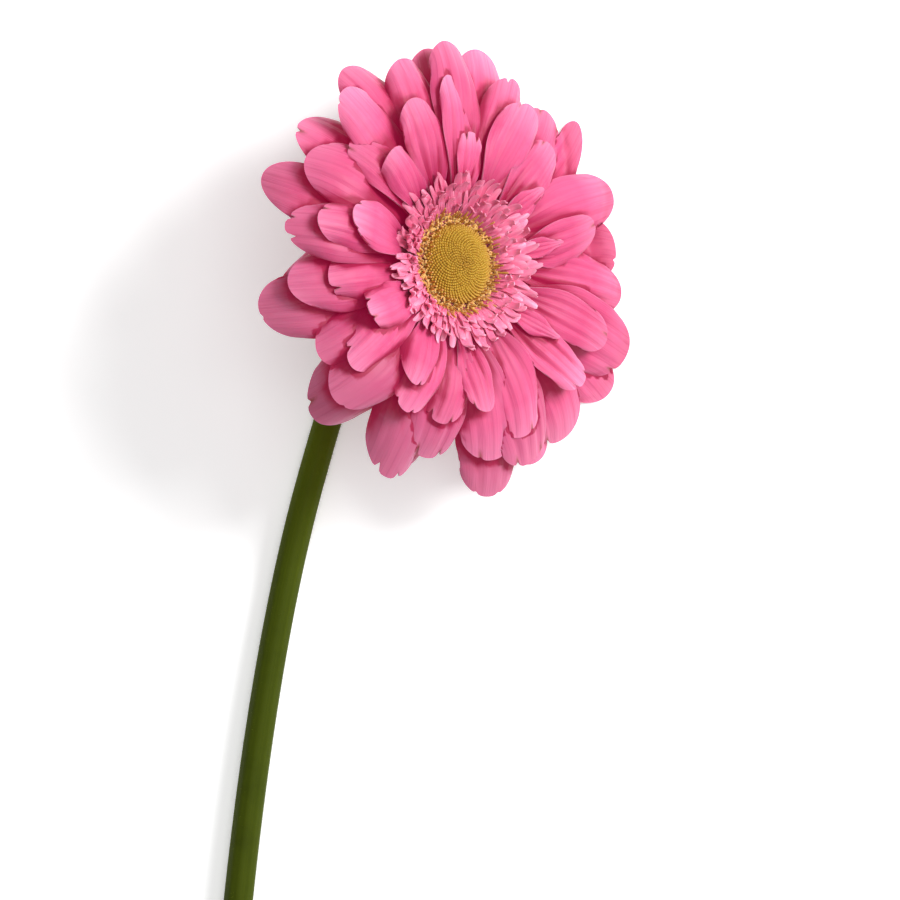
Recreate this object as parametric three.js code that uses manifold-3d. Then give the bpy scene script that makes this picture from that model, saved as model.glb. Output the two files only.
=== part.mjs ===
// A cut gerbera lying on a flat surface: one flower head on a leafless stem.
// Millimetres, +Z up. The stem lies along the surface, its neck bends up, and the face of the flower
// looks up and to +X, with the lower side of the petals resting on the surface.
// The origin is the centre of the footprint, on the surface.
import * as THREE from "three";
import { mergeVertices } from "three/addons/utils/BufferGeometryUtils.js";
import Module from "manifold-3d";

const wasm = await Module();
wasm.setup();

// Driving dimensions of the head. The head's own frame has its origin on top of the receptacle,
// with z along the axis of the flower.
const HEAD_HEIGHT = 31.5; // top of the receptacle above the surface
const HEAD_TILT = THREE.MathUtils.degToRad(38); // of the flower's axis from the vertical
const TILT_TOWARDS = THREE.MathUtils.degToRad(9); // from +X towards +Y
const BLADE_THICKNESS = 0.7;
const SEATING = 0.3; // gap between pieces that touch
const SURFACE_BLEND = 1.5; // height over which a petal eases down onto the surface
const SURFACE_NAP = 0.06; // a petal this close to the surface lies flat on it

// The receptacle's flat top carries the disc in the middle, the trans florets round it and the rays outside.
const SEAT_LEVEL = -2;
// The disc is a dome, sunk a little in the middle, whose closed buds are raised points of its net.
const DISC = { radius: 9.8, rise: 4.6, rimDrop: 0.86, hollow: 0.4, budRise: 0.6, rings: 12, sectors: 42 };
const TRANS_RING = { inner: DISC.radius + SEATING, outer: 13.2, top: 1.3 };
const RAY_RING = { inner: TRANS_RING.outer + SEATING, outer: 17.4, top: 1.0 };
const RING_FALL = 1; // fall of each ring's top from its inner edge to its outer edge

// Whorls of ray florets, from the back of the flower to the front. Lifts are in degrees above the
// plane of the flower, at the root and at the tip. Start turns a whorl on by a share of the angle
// between two of its florets. What stands under high is gained on the high side of the tilted head and
// lost on its low side.
const RAY_WHORLS = [
  { count: 17, root: 15.2, level: -0.7, length: 42.5, width: 16.7, rootLift: 4, tipLift: -8.4,
    salt: 314, start: 0.47, high: { length: -3, width: 0, lift: 3 } },
  { count: 17, root: 15.0, level: -0.3, length: 38.2, width: 16.5, rootLift: 14, tipLift: -2.5,
    salt: 138, start: -0.03, high: { length: -3.5, width: 0, lift: 4 } },
  { count: 14, root: 15.0, level: 0.3, length: 29.5, width: 14, rootLift: 24, tipLift: 6, salt: 3,
    high: { length: -1, width: 0, lift: 5 } },
  { count: 9, root: 15.4, level: 0.6, length: 20.5, width: 8.8, rootLift: 32, tipLift: 16, salt: 4,
    high: { length: 3, width: 3.6, lift: 5 } },
];
const RAY_VARIES = { length: 0.1, width: 0.15, turn: 0.3, lift: 3.6, swerve: 8 };
const RAY_DROOP = 9; // degrees by which the rays on the high side of the head bend down more
const RAY_CURL = { high: 0.7, low: 0.15 }; // degrees that a ray bends down for each millimetre of length
// The long edges of a ray fall by a share of its width, past the first share of its length.
const RAY_CROWN = { high: 0.27, low: 0.13, from: 0.2, over: 0.5 };
const RAY_SHINGLE = 9; // degrees that each ray is rolled, so that neighbours lie shingled
const RAY_CUP = 0.9; // rise of the long edges above the middle
const RAY_FLUTE = 0.45; // depth of the trough along the middle of a ray
const RAY_CLAW = 0.5; // share of a ray's length over which the claw flattens out into the blade

// Whorls of the short narrow florets between the rays and the disc.
const TRANS_WHORLS = [
  { count: 26, root: 12.0, level: 0.5, length: 11.6, width: 2.7, rootLift: 60, tipLift: 22, salt: 11 },
  { count: 21, root: 11.2, level: 0.5, length: 8.4, width: 2.4, rootLift: 70, tipLift: 38, salt: 12 },
];
const TRANS_VARIES = { length: 0.14, width: 0.15, turn: 0.25, lift: 4, swerve: 8 };
const TRANS_FOLD = 0.35;

// The green cup of bracts under the head.
const CUP_DEPTH = 15; // from the top of the receptacle to the foot of the cup
const CUP_SIDES = 28;
const CUP_PROFILE = [
  { radius: 4.9, aboveFoot: 0 },
  { radius: 6.6, aboveFoot: 1.4 },
  { radius: 10.5, aboveFoot: 3.6 },
  { radius: 12.5, aboveFoot: 6.2 },
  { radius: 16.6, aboveFoot: 11.4 },
];
const BRACT_WHORLS = [
  { count: 20, root: 13.0, level: -8.6, length: 10.9, width: 3.6, rootLift: 50, tipLift: 6, salt: 21 },
  { count: 14, root: 8.6, level: -12.2, length: 9.0, width: 3.4, rootLift: 42, tipLift: 56, salt: 22 },
];
const BRACT_VARIES = { length: 0.1, width: 0.1, turn: 0.2, lift: 2, swerve: 2 };
const BRACT_FOLD = 0.5; // rise of the edges of a bract above its middle

// The stem follows two Bezier curves in plan: the neck, from under the cup down to the surface, and
// the run along the surface to the cut end. Plan places are measured from the middle of the head.
const STEM = { neckRadius: 3.35, endRadius: 3.9, sides: 12, neckSteps: 14, runSteps: 26 };
const SWELLING = { rise: 1.1, share: 0.06 }; // of the stem, where it joins the cup
const NECK_REACH = 20;
const TOUCHDOWN = { x: -35.5, y: -52.5, handle: { x: 7, y: 25 } };
const RUN_HANDLES = [{ x: -55.1, y: -122.5 }, { x: -64, y: -250 }];
const CUT_END = { x: -60, y: -345 };
const CUT_SLANT = THREE.MathUtils.degToRad(32);

const toRadians = THREE.MathUtils.degToRad;
const headTurn = new THREE.Matrix4()
  .makeRotationZ(TILT_TOWARDS)
  .multiply(new THREE.Matrix4().makeRotationY(HEAD_TILT))
  .multiply(new THREE.Matrix4().makeRotationZ(-TILT_TOWARDS));
const headPlace = new THREE.Matrix4().makeTranslation(0, 0, HEAD_HEIGHT).multiply(headTurn);

// A repeatable draw from -1 to 1 for one item of one salt.
function draw(item, salt) {
  const wave = Math.sin(item * 12.9898 + salt * 78.233) * 43758.5453;
  return 2 * (wave - Math.floor(wave)) - 1;
}

// Where a floret would reach below the surface it bends and lies along it.
function layOnSurface(point) {
  const lowest = BLADE_THICKNESS / 2;
  const overlap = Math.max(SURFACE_BLEND - Math.abs(point.z - lowest), 0) / SURFACE_BLEND;
  point.z = Math.max(point.z, lowest) + (overlap * overlap * SURFACE_BLEND) / 4;
  return point;
}

function smoothstep(x) {
  const t = Math.min(Math.max(x, 0), 1);
  return t * t * (3 - 2 * t);
}

// What lies between the value for the high side of the head, where high is 1, and for its low side.
function between(sides, high) {
  return (sides.high * (1 + high) + sides.low * (1 - high)) / 2;
}

// One floret or bract of a whorl, with its own small differences.
function floretOf(whorl, varies, index) {
  const vary = (share, salt) => 1 + share * draw(index, whorl.salt * 7 + salt);
  const shift = (amount, salt) => amount * draw(index, whorl.salt * 7 + salt);
  const step = (2 * Math.PI) / whorl.count;
  const azimuth = (index + (whorl.start ?? 0) + 0.5 * (whorl.salt % 2) + shift(varies.turn, 1)) * step;
  const high = -Math.cos(azimuth - TILT_TOWARDS);
  const gain = whorl.high ?? { length: 0, width: 0, lift: 0 };
  return {
    azimuth,
    high,
    root: whorl.root,
    level: whorl.level,
    length: (whorl.length + gain.length * high) * vary(varies.length, 2),
    width: (whorl.width + gain.width * high) * vary(varies.width, 3),
    rootLift: toRadians(whorl.rootLift + gain.lift * high + shift(varies.lift, 4)),
    tipLift: toRadians(whorl.tipLift + gain.lift * high + shift(2 * varies.lift, 5)),
    swerve: toRadians(shift(varies.swerve, 6)),
  };
}

// Point of a floret's middle sheet in the head's frame. across runs from -1 to 1 and along from 0 to 1.
// halfWidth is a share of the greatest half width there, and rise the height over the centre line.
function sheetPoint(floret, across, along, halfWidth, rise, roll) {
  const bend = floret.tipLift - floret.rootLift;
  const lift = floret.rootLift + bend * along;
  const out = (floret.length * (Math.sin(lift) - Math.sin(floret.rootLift))) / bend;
  const up = (floret.length * (Math.cos(floret.rootLift) - Math.cos(lift))) / bend;
  const half = (floret.width / 2) * halfWidth;
  const aside = across * half * Math.cos(roll) + floret.length * Math.sin(floret.swerve) * along * along;
  const above = rise + across * half * Math.sin(roll);
  return new THREE.Vector3(
    floret.root + out - above * Math.sin(lift),
    aside,
    floret.level + up + above * Math.cos(lift),
  ).applyAxisAngle(new THREE.Vector3(0, 0, 1), floret.azimuth);
}

// A closed thin sheet. middle holds rows of points, and both faces are split along the same diagonals.
// What comes within the nap of the surface lies flat on it.
function blade(middle, thickness) {
  const rows = middle.length;
  const columns = middle[0].length;
  const at = (i, j) => middle[Math.min(Math.max(i, 0), rows - 1)][Math.min(Math.max(j, 0), columns - 1)];
  const upper = [];
  const lower = [];
  for (let i = 0; i < rows; i++) {
    for (let j = 0; j < columns; j++) {
      const along = at(i + 1, j).clone().sub(at(i - 1, j));
      const across = at(i, j + 1).clone().sub(at(i, j - 1));
      const normal = along.cross(across).normalize().multiplyScalar(thickness / 2);
      upper.push(middle[i][j].clone().add(normal));
      const under = middle[i][j].clone().sub(normal);
      if (under.z < SURFACE_NAP) under.z = 0;
      lower.push(under);
    }
  }
  const points = upper.concat(lower);
  const underside = upper.length;
  const faces = [];
  for (let i = 0; i < rows - 1; i++) {
    for (let j = 0; j < columns - 1; j++) {
      const a = i * columns + j;
      const b = a + 1;
      const c = a + columns;
      const d = c + 1;
      faces.push([a, c, b], [b, c, d]);
      faces.push([a, b, c].map((v) => v + underside), [b, d, c].map((v) => v + underside));
    }
  }
  const rim = [];
  for (let j = 0; j < columns - 1; j++) rim.push(j);
  for (let i = 0; i < rows - 1; i++) rim.push(i * columns + columns - 1);
  for (let j = columns - 1; j > 0; j--) rim.push((rows - 1) * columns + j);
  for (let i = rows - 1; i > 0; i--) rim.push(i * columns);
  rim.forEach((a, k) => {
    const b = rim[(k + 1) % rim.length];
    faces.push([a, b, a + underside], [b, b + underside, a + underside]);
  });
  return geometryOf(points, faces);
}

function geometryOf(points, faces) {
  const geometry = new THREE.BufferGeometry().setFromPoints(points);
  geometry.setIndex(faces.flat());
  return geometry;
}

function solidOf(geometry) {
  const bare = new THREE.BufferGeometry();
  bare.setAttribute("position", geometry.getAttribute("position"));
  bare.setIndex(geometry.index);
  const merged = mergeVertices(bare, 1e-4);
  return new wasm.Manifold(
    new wasm.Mesh({
      numProp: 3,
      vertProperties: new Float32Array(merged.getAttribute("position").array),
      triVerts: new Uint32Array(merged.index.array),
    }),
  );
}

function fuse(solids) {
  return wasm.Manifold.union(solids);
}

function meshOf(name, solid, material) {
  const { vertProperties, triVerts } = solid.getMesh();
  const geometry = new THREE.BufferGeometry();
  geometry.setAttribute("position", new THREE.BufferAttribute(vertProperties, 3));
  geometry.setIndex(new THREE.BufferAttribute(triVerts, 1));
  geometry.computeVertexNormals();
  const mesh = new THREE.Mesh(geometry, material);
  mesh.name = name;
  return mesh;
}

// A ring round the flower's axis, from profile points of radius and height, already in place.
function turned(profile, sides) {
  const outline = profile.map(([radius, height]) => new THREE.Vector2(radius, height));
  const geometry = new THREE.LatheGeometry(outline, sides);
  geometry.deleteAttribute("normal");
  geometry.deleteAttribute("uv");
  geometry.rotateX(Math.PI / 2);
  geometry.applyMatrix4(headPlace);
  return solidOf(geometry);
}

// The seat under a ring of florets, its profile running counter-clockwise round the section.
function floretRing(ring, sides) {
  const bottom = SEAT_LEVEL + SEATING;
  const section = [
    [ring.inner, bottom],
    [ring.outer, bottom],
    [ring.outer, ring.top - RING_FALL],
    [ring.inner, ring.top],
    [ring.inner, bottom],
  ];
  return turned(section, sides);
}

// A ray floret: a narrow claw that widens to a round tip, fluted along, with its long edges rolled down.
const RAY_OUTLINE = [
  { along: 0, half: 0.42 },
  { along: 0.3, half: 0.8 },
  { along: 0.62, half: 1 },
  { along: 0.88, half: 0.86 },
  { along: 1, half: 0.38 },
];
const RAY_COLUMNS = [-1, -0.36, 0.36, 1];

function rayFloret(whorl, index) {
  const floret = floretOf(whorl, RAY_VARIES, index);
  const droop = between({ high: RAY_DROOP, low: 0 }, floret.high);
  floret.tipLift -= toRadians(droop + between(RAY_CURL, floret.high) * floret.length);
  const roll = toRadians(RAY_SHINGLE);
  const crown = between(RAY_CROWN, floret.high) * floret.width;
  const middle = RAY_OUTLINE.map(({ along, half }) =>
    RAY_COLUMNS.map((across) => {
      const edge = Math.abs(across) > 0.5;
      const spread = smoothstep(along / RAY_CLAW);
      const fall = crown * smoothstep((along - RAY_CROWN.from) / RAY_CROWN.over);
      const rise = edge ? spread * RAY_CUP * (1 - along) - fall : -RAY_FLUTE * spread;
      return layOnSurface(sheetPoint(floret, across, along, half, rise, roll).applyMatrix4(headPlace));
    }),
  );
  return solidOf(blade(middle, BLADE_THICKNESS));
}

// A narrow strap with a rounded or pointed end, for the trans florets and the bracts.
function strapFloret(whorl, varies, index, outline, fold) {
  const floret = floretOf(whorl, varies, index);
  const middle = outline.map(({ along, half }) =>
    [-1, 0, 1].map((across) => {
      const rise = across === 0 ? 0 : fold * half;
      return sheetPoint(floret, across, along, half, rise, 0).applyMatrix4(headPlace);
    }),
  );
  return solidOf(blade(middle, BLADE_THICKNESS));
}

function whorlsOf(whorls, make) {
  return whorls.flatMap((whorl) => Array.from({ length: whorl.count }, (_, index) => make(whorl, index)));
}

function rayFlorets() {
  return fuse([floretRing(RAY_RING, 48), ...whorlsOf(RAY_WHORLS, rayFloret)]);
}

const TRANS_OUTLINE = [{ along: 0, half: 0.7 }, { along: 0.6, half: 1 }, { along: 1, half: 0.55 }];

function transFlorets() {
  const make = (whorl, index) => strapFloret(whorl, TRANS_VARIES, index, TRANS_OUTLINE, TRANS_FOLD);
  return fuse([floretRing(TRANS_RING, 40), ...whorlsOf(TRANS_WHORLS, make)]);
}

// The disc is a dome of closed buds in a hexagonal pattern, every third point of the net raised.
function discFlorets() {
  const points = [];
  const faces = [];
  const ringStart = (ring) => 1 + ring * DISC.sectors;
  points.push(new THREE.Vector3(0, 0, DISC.rise - DISC.budRise));
  for (let ring = 0; ring < DISC.rings; ring++) {
    const share = (ring + 1) / DISC.rings;
    for (let sector = 0; sector < DISC.sectors; sector++) {
      const inside = ring > 0 && ring < DISC.rings - 1;
      const raised = inside && (sector + 2 * ring) % 3 === 0;
      const radius = DISC.radius * share;
      const turn = ((sector + 0.5 * ring) / DISC.sectors) * 2 * Math.PI;
      const dome = DISC.rise * Math.sqrt(1 - DISC.rimDrop * share * share);
      const height = dome + (raised ? DISC.budRise * share : 0) - DISC.hollow * (1 - share);
      points.push(new THREE.Vector3(radius * Math.cos(turn), radius * Math.sin(turn), height));
    }
  }
  const foot = points.length;
  for (let sector = 0; sector < DISC.sectors; sector++) {
    const edge = points[ringStart(DISC.rings - 1) + sector];
    points.push(new THREE.Vector3(edge.x, edge.y, SEAT_LEVEL + SEATING));
  }
  points.push(new THREE.Vector3(0, 0, SEAT_LEVEL + SEATING));
  const bottom = points.length - 1;
  for (let sector = 0; sector < DISC.sectors; sector++) {
    const next = (sector + 1) % DISC.sectors;
    faces.push([0, ringStart(0) + sector, ringStart(0) + next]);
    for (let ring = 0; ring < DISC.rings - 1; ring++) {
      const a = ringStart(ring) + sector;
      const b = ringStart(ring) + next;
      const c = ringStart(ring + 1) + sector;
      const d = ringStart(ring + 1) + next;
      faces.push([a, c, b], [b, c, d]);
    }
    const rim = ringStart(DISC.rings - 1);
    faces.push([rim + sector, foot + sector, rim + next], [rim + next, foot + sector, foot + next]);
    faces.push([bottom, foot + next, foot + sector]);
  }
  return solidOf(geometryOf(points, faces).applyMatrix4(headPlace));
}

// The cup flares from the stem to the flat seat of the florets, with pointed bracts growing up it.
const BRACT_OUTLINE = [{ along: 0, half: 0.8 }, { along: 0.5, half: 1 }, { along: 1, half: 0.25 }];

function involucre() {
  const wall = CUP_PROFILE.map(({ radius, aboveFoot }) => [radius, aboveFoot - CUP_DEPTH]);
  const rim = CUP_PROFILE.at(-1).radius;
  const cup = turned([[0, -CUP_DEPTH], ...wall, [rim, SEAT_LEVEL], [0, SEAT_LEVEL]], CUP_SIDES);
  const make = (whorl, index) => strapFloret(whorl, BRACT_VARIES, index, BRACT_OUTLINE, BRACT_FOLD);
  return fuse([cup, ...whorlsOf(BRACT_WHORLS, make)]);
}

// Radius of the stem at a share of its length.
function stemRadius(share) {
  const swelling = SWELLING.rise * Math.pow(1 - smoothstep(share / SWELLING.share), 2);
  return THREE.MathUtils.lerp(STEM.neckRadius, STEM.endRadius, share) + swelling;
}

function stemRoute() {
  const rest = STEM.neckRadius * Math.cos(Math.PI / STEM.sides);
  const top = new THREE.Vector3(0, 0, -CUP_DEPTH - SEATING).applyMatrix4(headPlace);
  const down = new THREE.Vector3(0, 0, -1).transformDirection(headTurn);
  const touch = new THREE.Vector3(TOUCHDOWN.x, TOUCHDOWN.y, rest);
  const route = new THREE.CurvePath();
  route.add(
    new THREE.CubicBezierCurve3(
      top,
      top.clone().addScaledVector(down, NECK_REACH),
      touch.clone().add(new THREE.Vector3(TOUCHDOWN.handle.x, TOUCHDOWN.handle.y, 0)),
      touch,
    ),
  );
  const [first, second] = RUN_HANDLES.map(({ x, y }) => new THREE.Vector3(x, y, rest));
  route.add(new THREE.CubicBezierCurve3(touch, first, second, new THREE.Vector3(CUT_END.x, CUT_END.y, rest)));
  return route;
}

// The stem is swept by hand, because it tapers and rests on one flat side of its section.
function stem() {
  const [neck, run] = stemRoute().curves;
  const stations = [];
  for (let i = 0; i < STEM.neckSteps; i++) stations.push({ curve: neck, t: i / STEM.neckSteps });
  for (let i = 0; i <= STEM.runSteps; i++) stations.push({ curve: run, t: i / STEM.runSteps });
  const points = [];
  const faces = [];
  const flat = Math.cos(Math.PI / STEM.sides);
  stations.forEach(({ curve, t }, index) => {
    const share = index / (stations.length - 1);
    const radius = stemRadius(share);
    const tangent = curve.getTangent(t);
    const side = tangent.clone().cross(new THREE.Vector3(0, 0, 1)).normalize();
    const up = side.clone().cross(tangent);
    const taper = STEM.endRadius - STEM.neckRadius;
    const centre = curve.getPoint(t).add(new THREE.Vector3(0, 0, taper * share * flat));
    for (let k = 0; k < STEM.sides; k++) {
      const angle = ((k + 0.5) / STEM.sides) * 2 * Math.PI + Math.PI / 2;
      const across = radius * Math.sin(angle);
      const above = radius * Math.cos(angle);
      const slant = index === stations.length - 1 ? -above * Math.tan(CUT_SLANT) : 0;
      const point = centre.clone().addScaledVector(side, across).addScaledVector(up, above);
      points.push(point.addScaledVector(tangent, slant));
    }
  });
  const ends = [0, stations.length - 1].map((ring) => {
    const middle = new THREE.Vector3();
    for (let k = 0; k < STEM.sides; k++) middle.add(points[ring * STEM.sides + k]);
    points.push(middle.divideScalar(STEM.sides));
    return points.length - 1;
  });
  for (let k = 0; k < STEM.sides; k++) {
    const next = (k + 1) % STEM.sides;
    for (let ring = 0; ring < stations.length - 1; ring++) {
      const a = ring * STEM.sides + k;
      const b = ring * STEM.sides + next;
      faces.push([a, b, a + STEM.sides], [b, b + STEM.sides, a + STEM.sides]);
    }
    const last = (stations.length - 1) * STEM.sides;
    faces.push([ends[0], next, k], [ends[1], last + k, last + next]);
  }
  return solidOf(geometryOf(points, faces));
}

const petalPink = new THREE.MeshStandardMaterial({ color: 0xee6f9c, roughness: 0.62, metalness: 0 });
const palePink = new THREE.MeshStandardMaterial({ color: 0xf597b4, roughness: 0.62, metalness: 0 });
const discGreen = new THREE.MeshStandardMaterial({ color: 0xb99a34, roughness: 0.8, metalness: 0 });
const bractGreen = new THREE.MeshStandardMaterial({ color: 0x4b6118, roughness: 0.7, metalness: 0 });
const stemGreen = new THREE.MeshStandardMaterial({ color: 0x4a5610, roughness: 0.7, metalness: 0 });

const flower = new THREE.Group();
flower.add(
  meshOf("ray_florets", rayFlorets(), petalPink),
  meshOf("trans_florets", transFlorets(), palePink),
  meshOf("disc_florets", discFlorets(), discGreen),
  meshOf("involucre", involucre(), bractGreen),
  meshOf("stem", stem(), stemGreen),
);

// The whole flower is moved so that the origin is the centre of its footprint.
const bounds = new THREE.Box3().setFromObject(flower);
const centre = bounds.getCenter(new THREE.Vector3());
flower.position.set(-centre.x, -centre.y, -bounds.min.z);

const gerbera = new THREE.Group();
gerbera.add(flower);
export default gerbera;
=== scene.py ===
"""A cut gerbera lying on a pale surface: one layered pink head on a bare green stem.

The frame gives where the head and the stem stand. Each sub-assembly below is a class that holds its
sizes in millimetres, builds its meshes in metres in the frame, and dresses them.
"""

import logging
import math
from dataclasses import dataclass, replace
from enum import Enum
from typing import Callable, Sequence

import bpy
import numpy as np
from mathutils import Matrix, Vector
from mathutils.bvhtree import BVHTree


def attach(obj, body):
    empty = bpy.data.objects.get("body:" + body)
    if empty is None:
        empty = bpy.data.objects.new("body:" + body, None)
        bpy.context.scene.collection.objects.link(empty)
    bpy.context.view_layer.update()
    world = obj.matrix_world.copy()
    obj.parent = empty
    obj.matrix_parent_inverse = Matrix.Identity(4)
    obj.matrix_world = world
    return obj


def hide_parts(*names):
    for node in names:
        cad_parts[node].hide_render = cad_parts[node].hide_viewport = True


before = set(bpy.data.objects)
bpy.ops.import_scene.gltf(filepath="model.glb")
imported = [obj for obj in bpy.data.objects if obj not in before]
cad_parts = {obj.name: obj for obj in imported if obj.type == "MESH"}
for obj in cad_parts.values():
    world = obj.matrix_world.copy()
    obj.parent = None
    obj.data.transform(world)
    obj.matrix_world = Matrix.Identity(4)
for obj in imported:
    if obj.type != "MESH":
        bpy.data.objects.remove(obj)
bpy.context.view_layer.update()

LOG = logging.getLogger("gerbera")
MM = 0.001
FULL_TURN = 2 * math.pi
GOLDEN_TURN = math.pi * (3 - math.sqrt(5))
Colour = tuple[float, float, float, float]


def srgb(red: int, green: int, blue: int) -> Colour:
    """Gives the linear colour of a display colour.

    Args:
        red: Red from 0 to 255.
        green: Green from 0 to 255.
        blue: Blue from 0 to 255.

    Returns:
        The linear red, green and blue, and an alpha of 1.
    """

    def linear(part: int) -> float:
        share = part / 255
        return share / 12.92 if share <= 0.04045 else ((share + 0.055) / 1.055) ** 2.4

    return (linear(red), linear(green), linear(blue), 1.0)


def draw(item: int, salt: int) -> float:
    """Gives a repeatable draw from -1 to 1 for one item of one salt, by the usual hash of a sine."""
    wave = math.sin(item * 12.9898 + salt * 78.233) * 43758.5453
    return 2 * (wave - math.floor(wave)) - 1


def ease(value: np.ndarray | float, start: float = 0.0, over: float = 1.0) -> np.ndarray:
    """Rises smoothly from 0 at the start to 1 where the given stretch is over."""
    share = np.clip((value - start) / over, 0, 1)
    return share * share * (3 - 2 * share)


def round_end(across: np.ndarray) -> np.ndarray:
    """Gives how far a round end falls back at each place across it: 0 in the middle, 1 at the sides."""
    return 1 - np.sqrt(1 - across**2 + 1e-9)


# Shaders


class Value:
    """A socket of a shader that takes part in Python arithmetic."""

    def __init__(self, paint: "Paint", socket: bpy.types.NodeSocket) -> None:
        """Wraps one output socket of a paint's node tree."""
        self.paint = paint
        self.socket = socket

    def _math(self, operation: str, first: "Operand", second: "Operand") -> "Value":
        """Adds one Math node."""
        return self.paint.node("ShaderNodeMath", {"operation": operation}, {0: first, 1: second})

    def __add__(self, other: "Operand") -> "Value":
        """Adds."""
        return self._math("ADD", self, other)

    def __sub__(self, other: "Operand") -> "Value":
        """Subtracts."""
        return self._math("SUBTRACT", self, other)

    def __rsub__(self, other: "Operand") -> "Value":
        """Subtracts this value from a number."""
        return self._math("SUBTRACT", other, self)

    def __mul__(self, other: "Operand") -> "Value":
        """Multiplies."""
        return self._math("MULTIPLY", self, other)

    def __pow__(self, other: "Operand") -> "Value":
        """Raises to a power."""
        return self._math("POWER", self, other)

    def __abs__(self) -> "Value":
        """Drops the sign."""
        return self._math("ABSOLUTE", self, 0.0)

    __radd__ = __add__
    __rmul__ = __mul__


Operand = Value | float


class Paint:
    """The node tree of one material, with one Principled shader at its end."""

    def __init__(self, name: str, constants: dict[str, object]) -> None:
        """Starts the material.

        Args:
            name: The material's name.
            constants: Principled sockets that are the same all over the surface.
        """
        self.material = bpy.data.materials.new(name)
        self.material.use_nodes = True
        self.tree = self.material.node_tree
        self.shader = self.tree.nodes["Principled BSDF"]
        for socket, value in constants.items():
            self.shader.inputs[socket].default_value = value

    def node(
        self,
        kind: str,
        settings: dict | None = None,
        inputs: dict | None = None,
        output: int | str = 0,
    ) -> Value:
        """Adds one node.

        Args:
            kind: The node's type.
            settings: Its properties. stops holds a colour ramp's positions and colours.
            inputs: The numbers, colours or values of its input sockets.
            output: Which output socket to give back.

        Returns:
            The chosen output socket.
        """
        made = self.tree.nodes.new(kind)
        for key, value in (settings or {}).items():
            if key == "stops":
                self._set_stops(made.color_ramp, value)
            else:
                setattr(made, key, value)
        for key, value in (inputs or {}).items():
            if isinstance(value, Value):
                self.tree.links.new(value.socket, made.inputs[key])
            else:
                made.inputs[key].default_value = value
        return Value(self, made.outputs[output])

    @staticmethod
    def _set_stops(ramp: bpy.types.ColorRamp, stops: Sequence[tuple[float, Colour]]) -> None:
        """Fills a colour ramp."""
        while len(ramp.elements) < len(stops):
            ramp.elements.new(1.0)
        for element, (position, colour) in zip(ramp.elements, stops):
            element.position = position
            element.color = colour

    def attribute(self, name: str) -> Value:
        """Reads a number that the mesh carries."""
        return self.node("ShaderNodeAttribute", {"attribute_name": name}, output="Fac")

    def uv(self) -> tuple[Value, Value]:
        """Reads the place across and along a sheet, both from 0 to 1."""
        place = self.node("ShaderNodeUVMap", {"uv_map": "UVMap"})
        split = {"Vector": place}
        return (
            self.node("ShaderNodeSeparateXYZ", inputs=split, output="X"),
            self.node("ShaderNodeSeparateXYZ", inputs=split, output="Y"),
        )

    def vector(self, x: Operand, y: Operand, z: Operand) -> Value:
        """Joins three numbers."""
        return self.node("ShaderNodeCombineXYZ", inputs={"X": x, "Y": y, "Z": z})

    def ramp(self, factor: Value, stops: Sequence[tuple[float, Colour]]) -> Value:
        """Looks a number up in a colour ramp."""
        return self.node("ShaderNodeValToRGB", {"stops": stops}, {"Fac": factor}, "Color")

    def band(self, factor: Value, low: float, high: float) -> Value:
        """Maps a number to 0 at low and 1 at high, and holds it there."""
        return self.node(
            "ShaderNodeMapRange",
            {"interpolation_type": "SMOOTHSTEP"},
            {"Value": factor, "From Min": low, "From Max": high, "To Min": 0.0, "To Max": 1.0},
        )

    def mix(self, factor: Operand, first: Value | Colour, second: Value | Colour) -> Value:
        """Mixes two colours."""
        return self.node("ShaderNodeMix", {"data_type": "RGBA"}, {0: factor, 6: first, 7: second}, 2)

    def noise(self, place: Value, scale: float, detail: float, rough: float = 0.5) -> Value:
        """Adds a noise from 0 to 1."""
        return self.node(
            "ShaderNodeTexNoise",
            inputs={"Vector": place, "Scale": scale, "Detail": detail, "Roughness": rough},
            output="Fac",
        )

    def streaks(
        self,
        place: Sequence[Operand],
        stretch: Sequence[float],
        detail: float,
        rough: float = 0.5,
    ) -> Value:
        """Adds a noise that changes at its own rate with each of three values."""
        spot = self.vector(*(value * rate for value, rate in zip(place, stretch)))
        return self.noise(spot, 1.0, detail, rough)

    def grain(self, scale: float, detail: float = 2.0) -> Value:
        """Adds a noise of a scale per metre that is fixed to the piece."""
        return self.noise(self.node("ShaderNodeTexCoord", output="Object"), scale, detail)

    def bump(self, height: Value, strength: float, distance: float) -> Value:
        """Turns a height into a normal, with the distance in metres."""
        inputs = {"Strength": strength, "Distance": distance, "Height": height}
        return self.node("ShaderNodeBump", inputs=inputs)

    def finish(
        self,
        colour: Value,
        roughness: Value | None = None,
        normal: Value | None = None,
        glow: Value | None = None,
    ) -> bpy.types.Material:
        """Feeds the shader.

        Args:
            colour: What goes into Base Color.
            roughness: What goes into Roughness, if it varies.
            normal: What goes into Normal, if the surface has relief.
            glow: What goes into Emission Color, where a painted glow is wanted.

        Returns:
            The finished material.
        """
        fed = {"Base Color": colour, "Roughness": roughness, "Normal": normal, "Emission Color": glow}
        for socket, value in fed.items():
            if value is not None:
                self.tree.links.new(value.socket, self.shader.inputs[socket])
        return self.material


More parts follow.
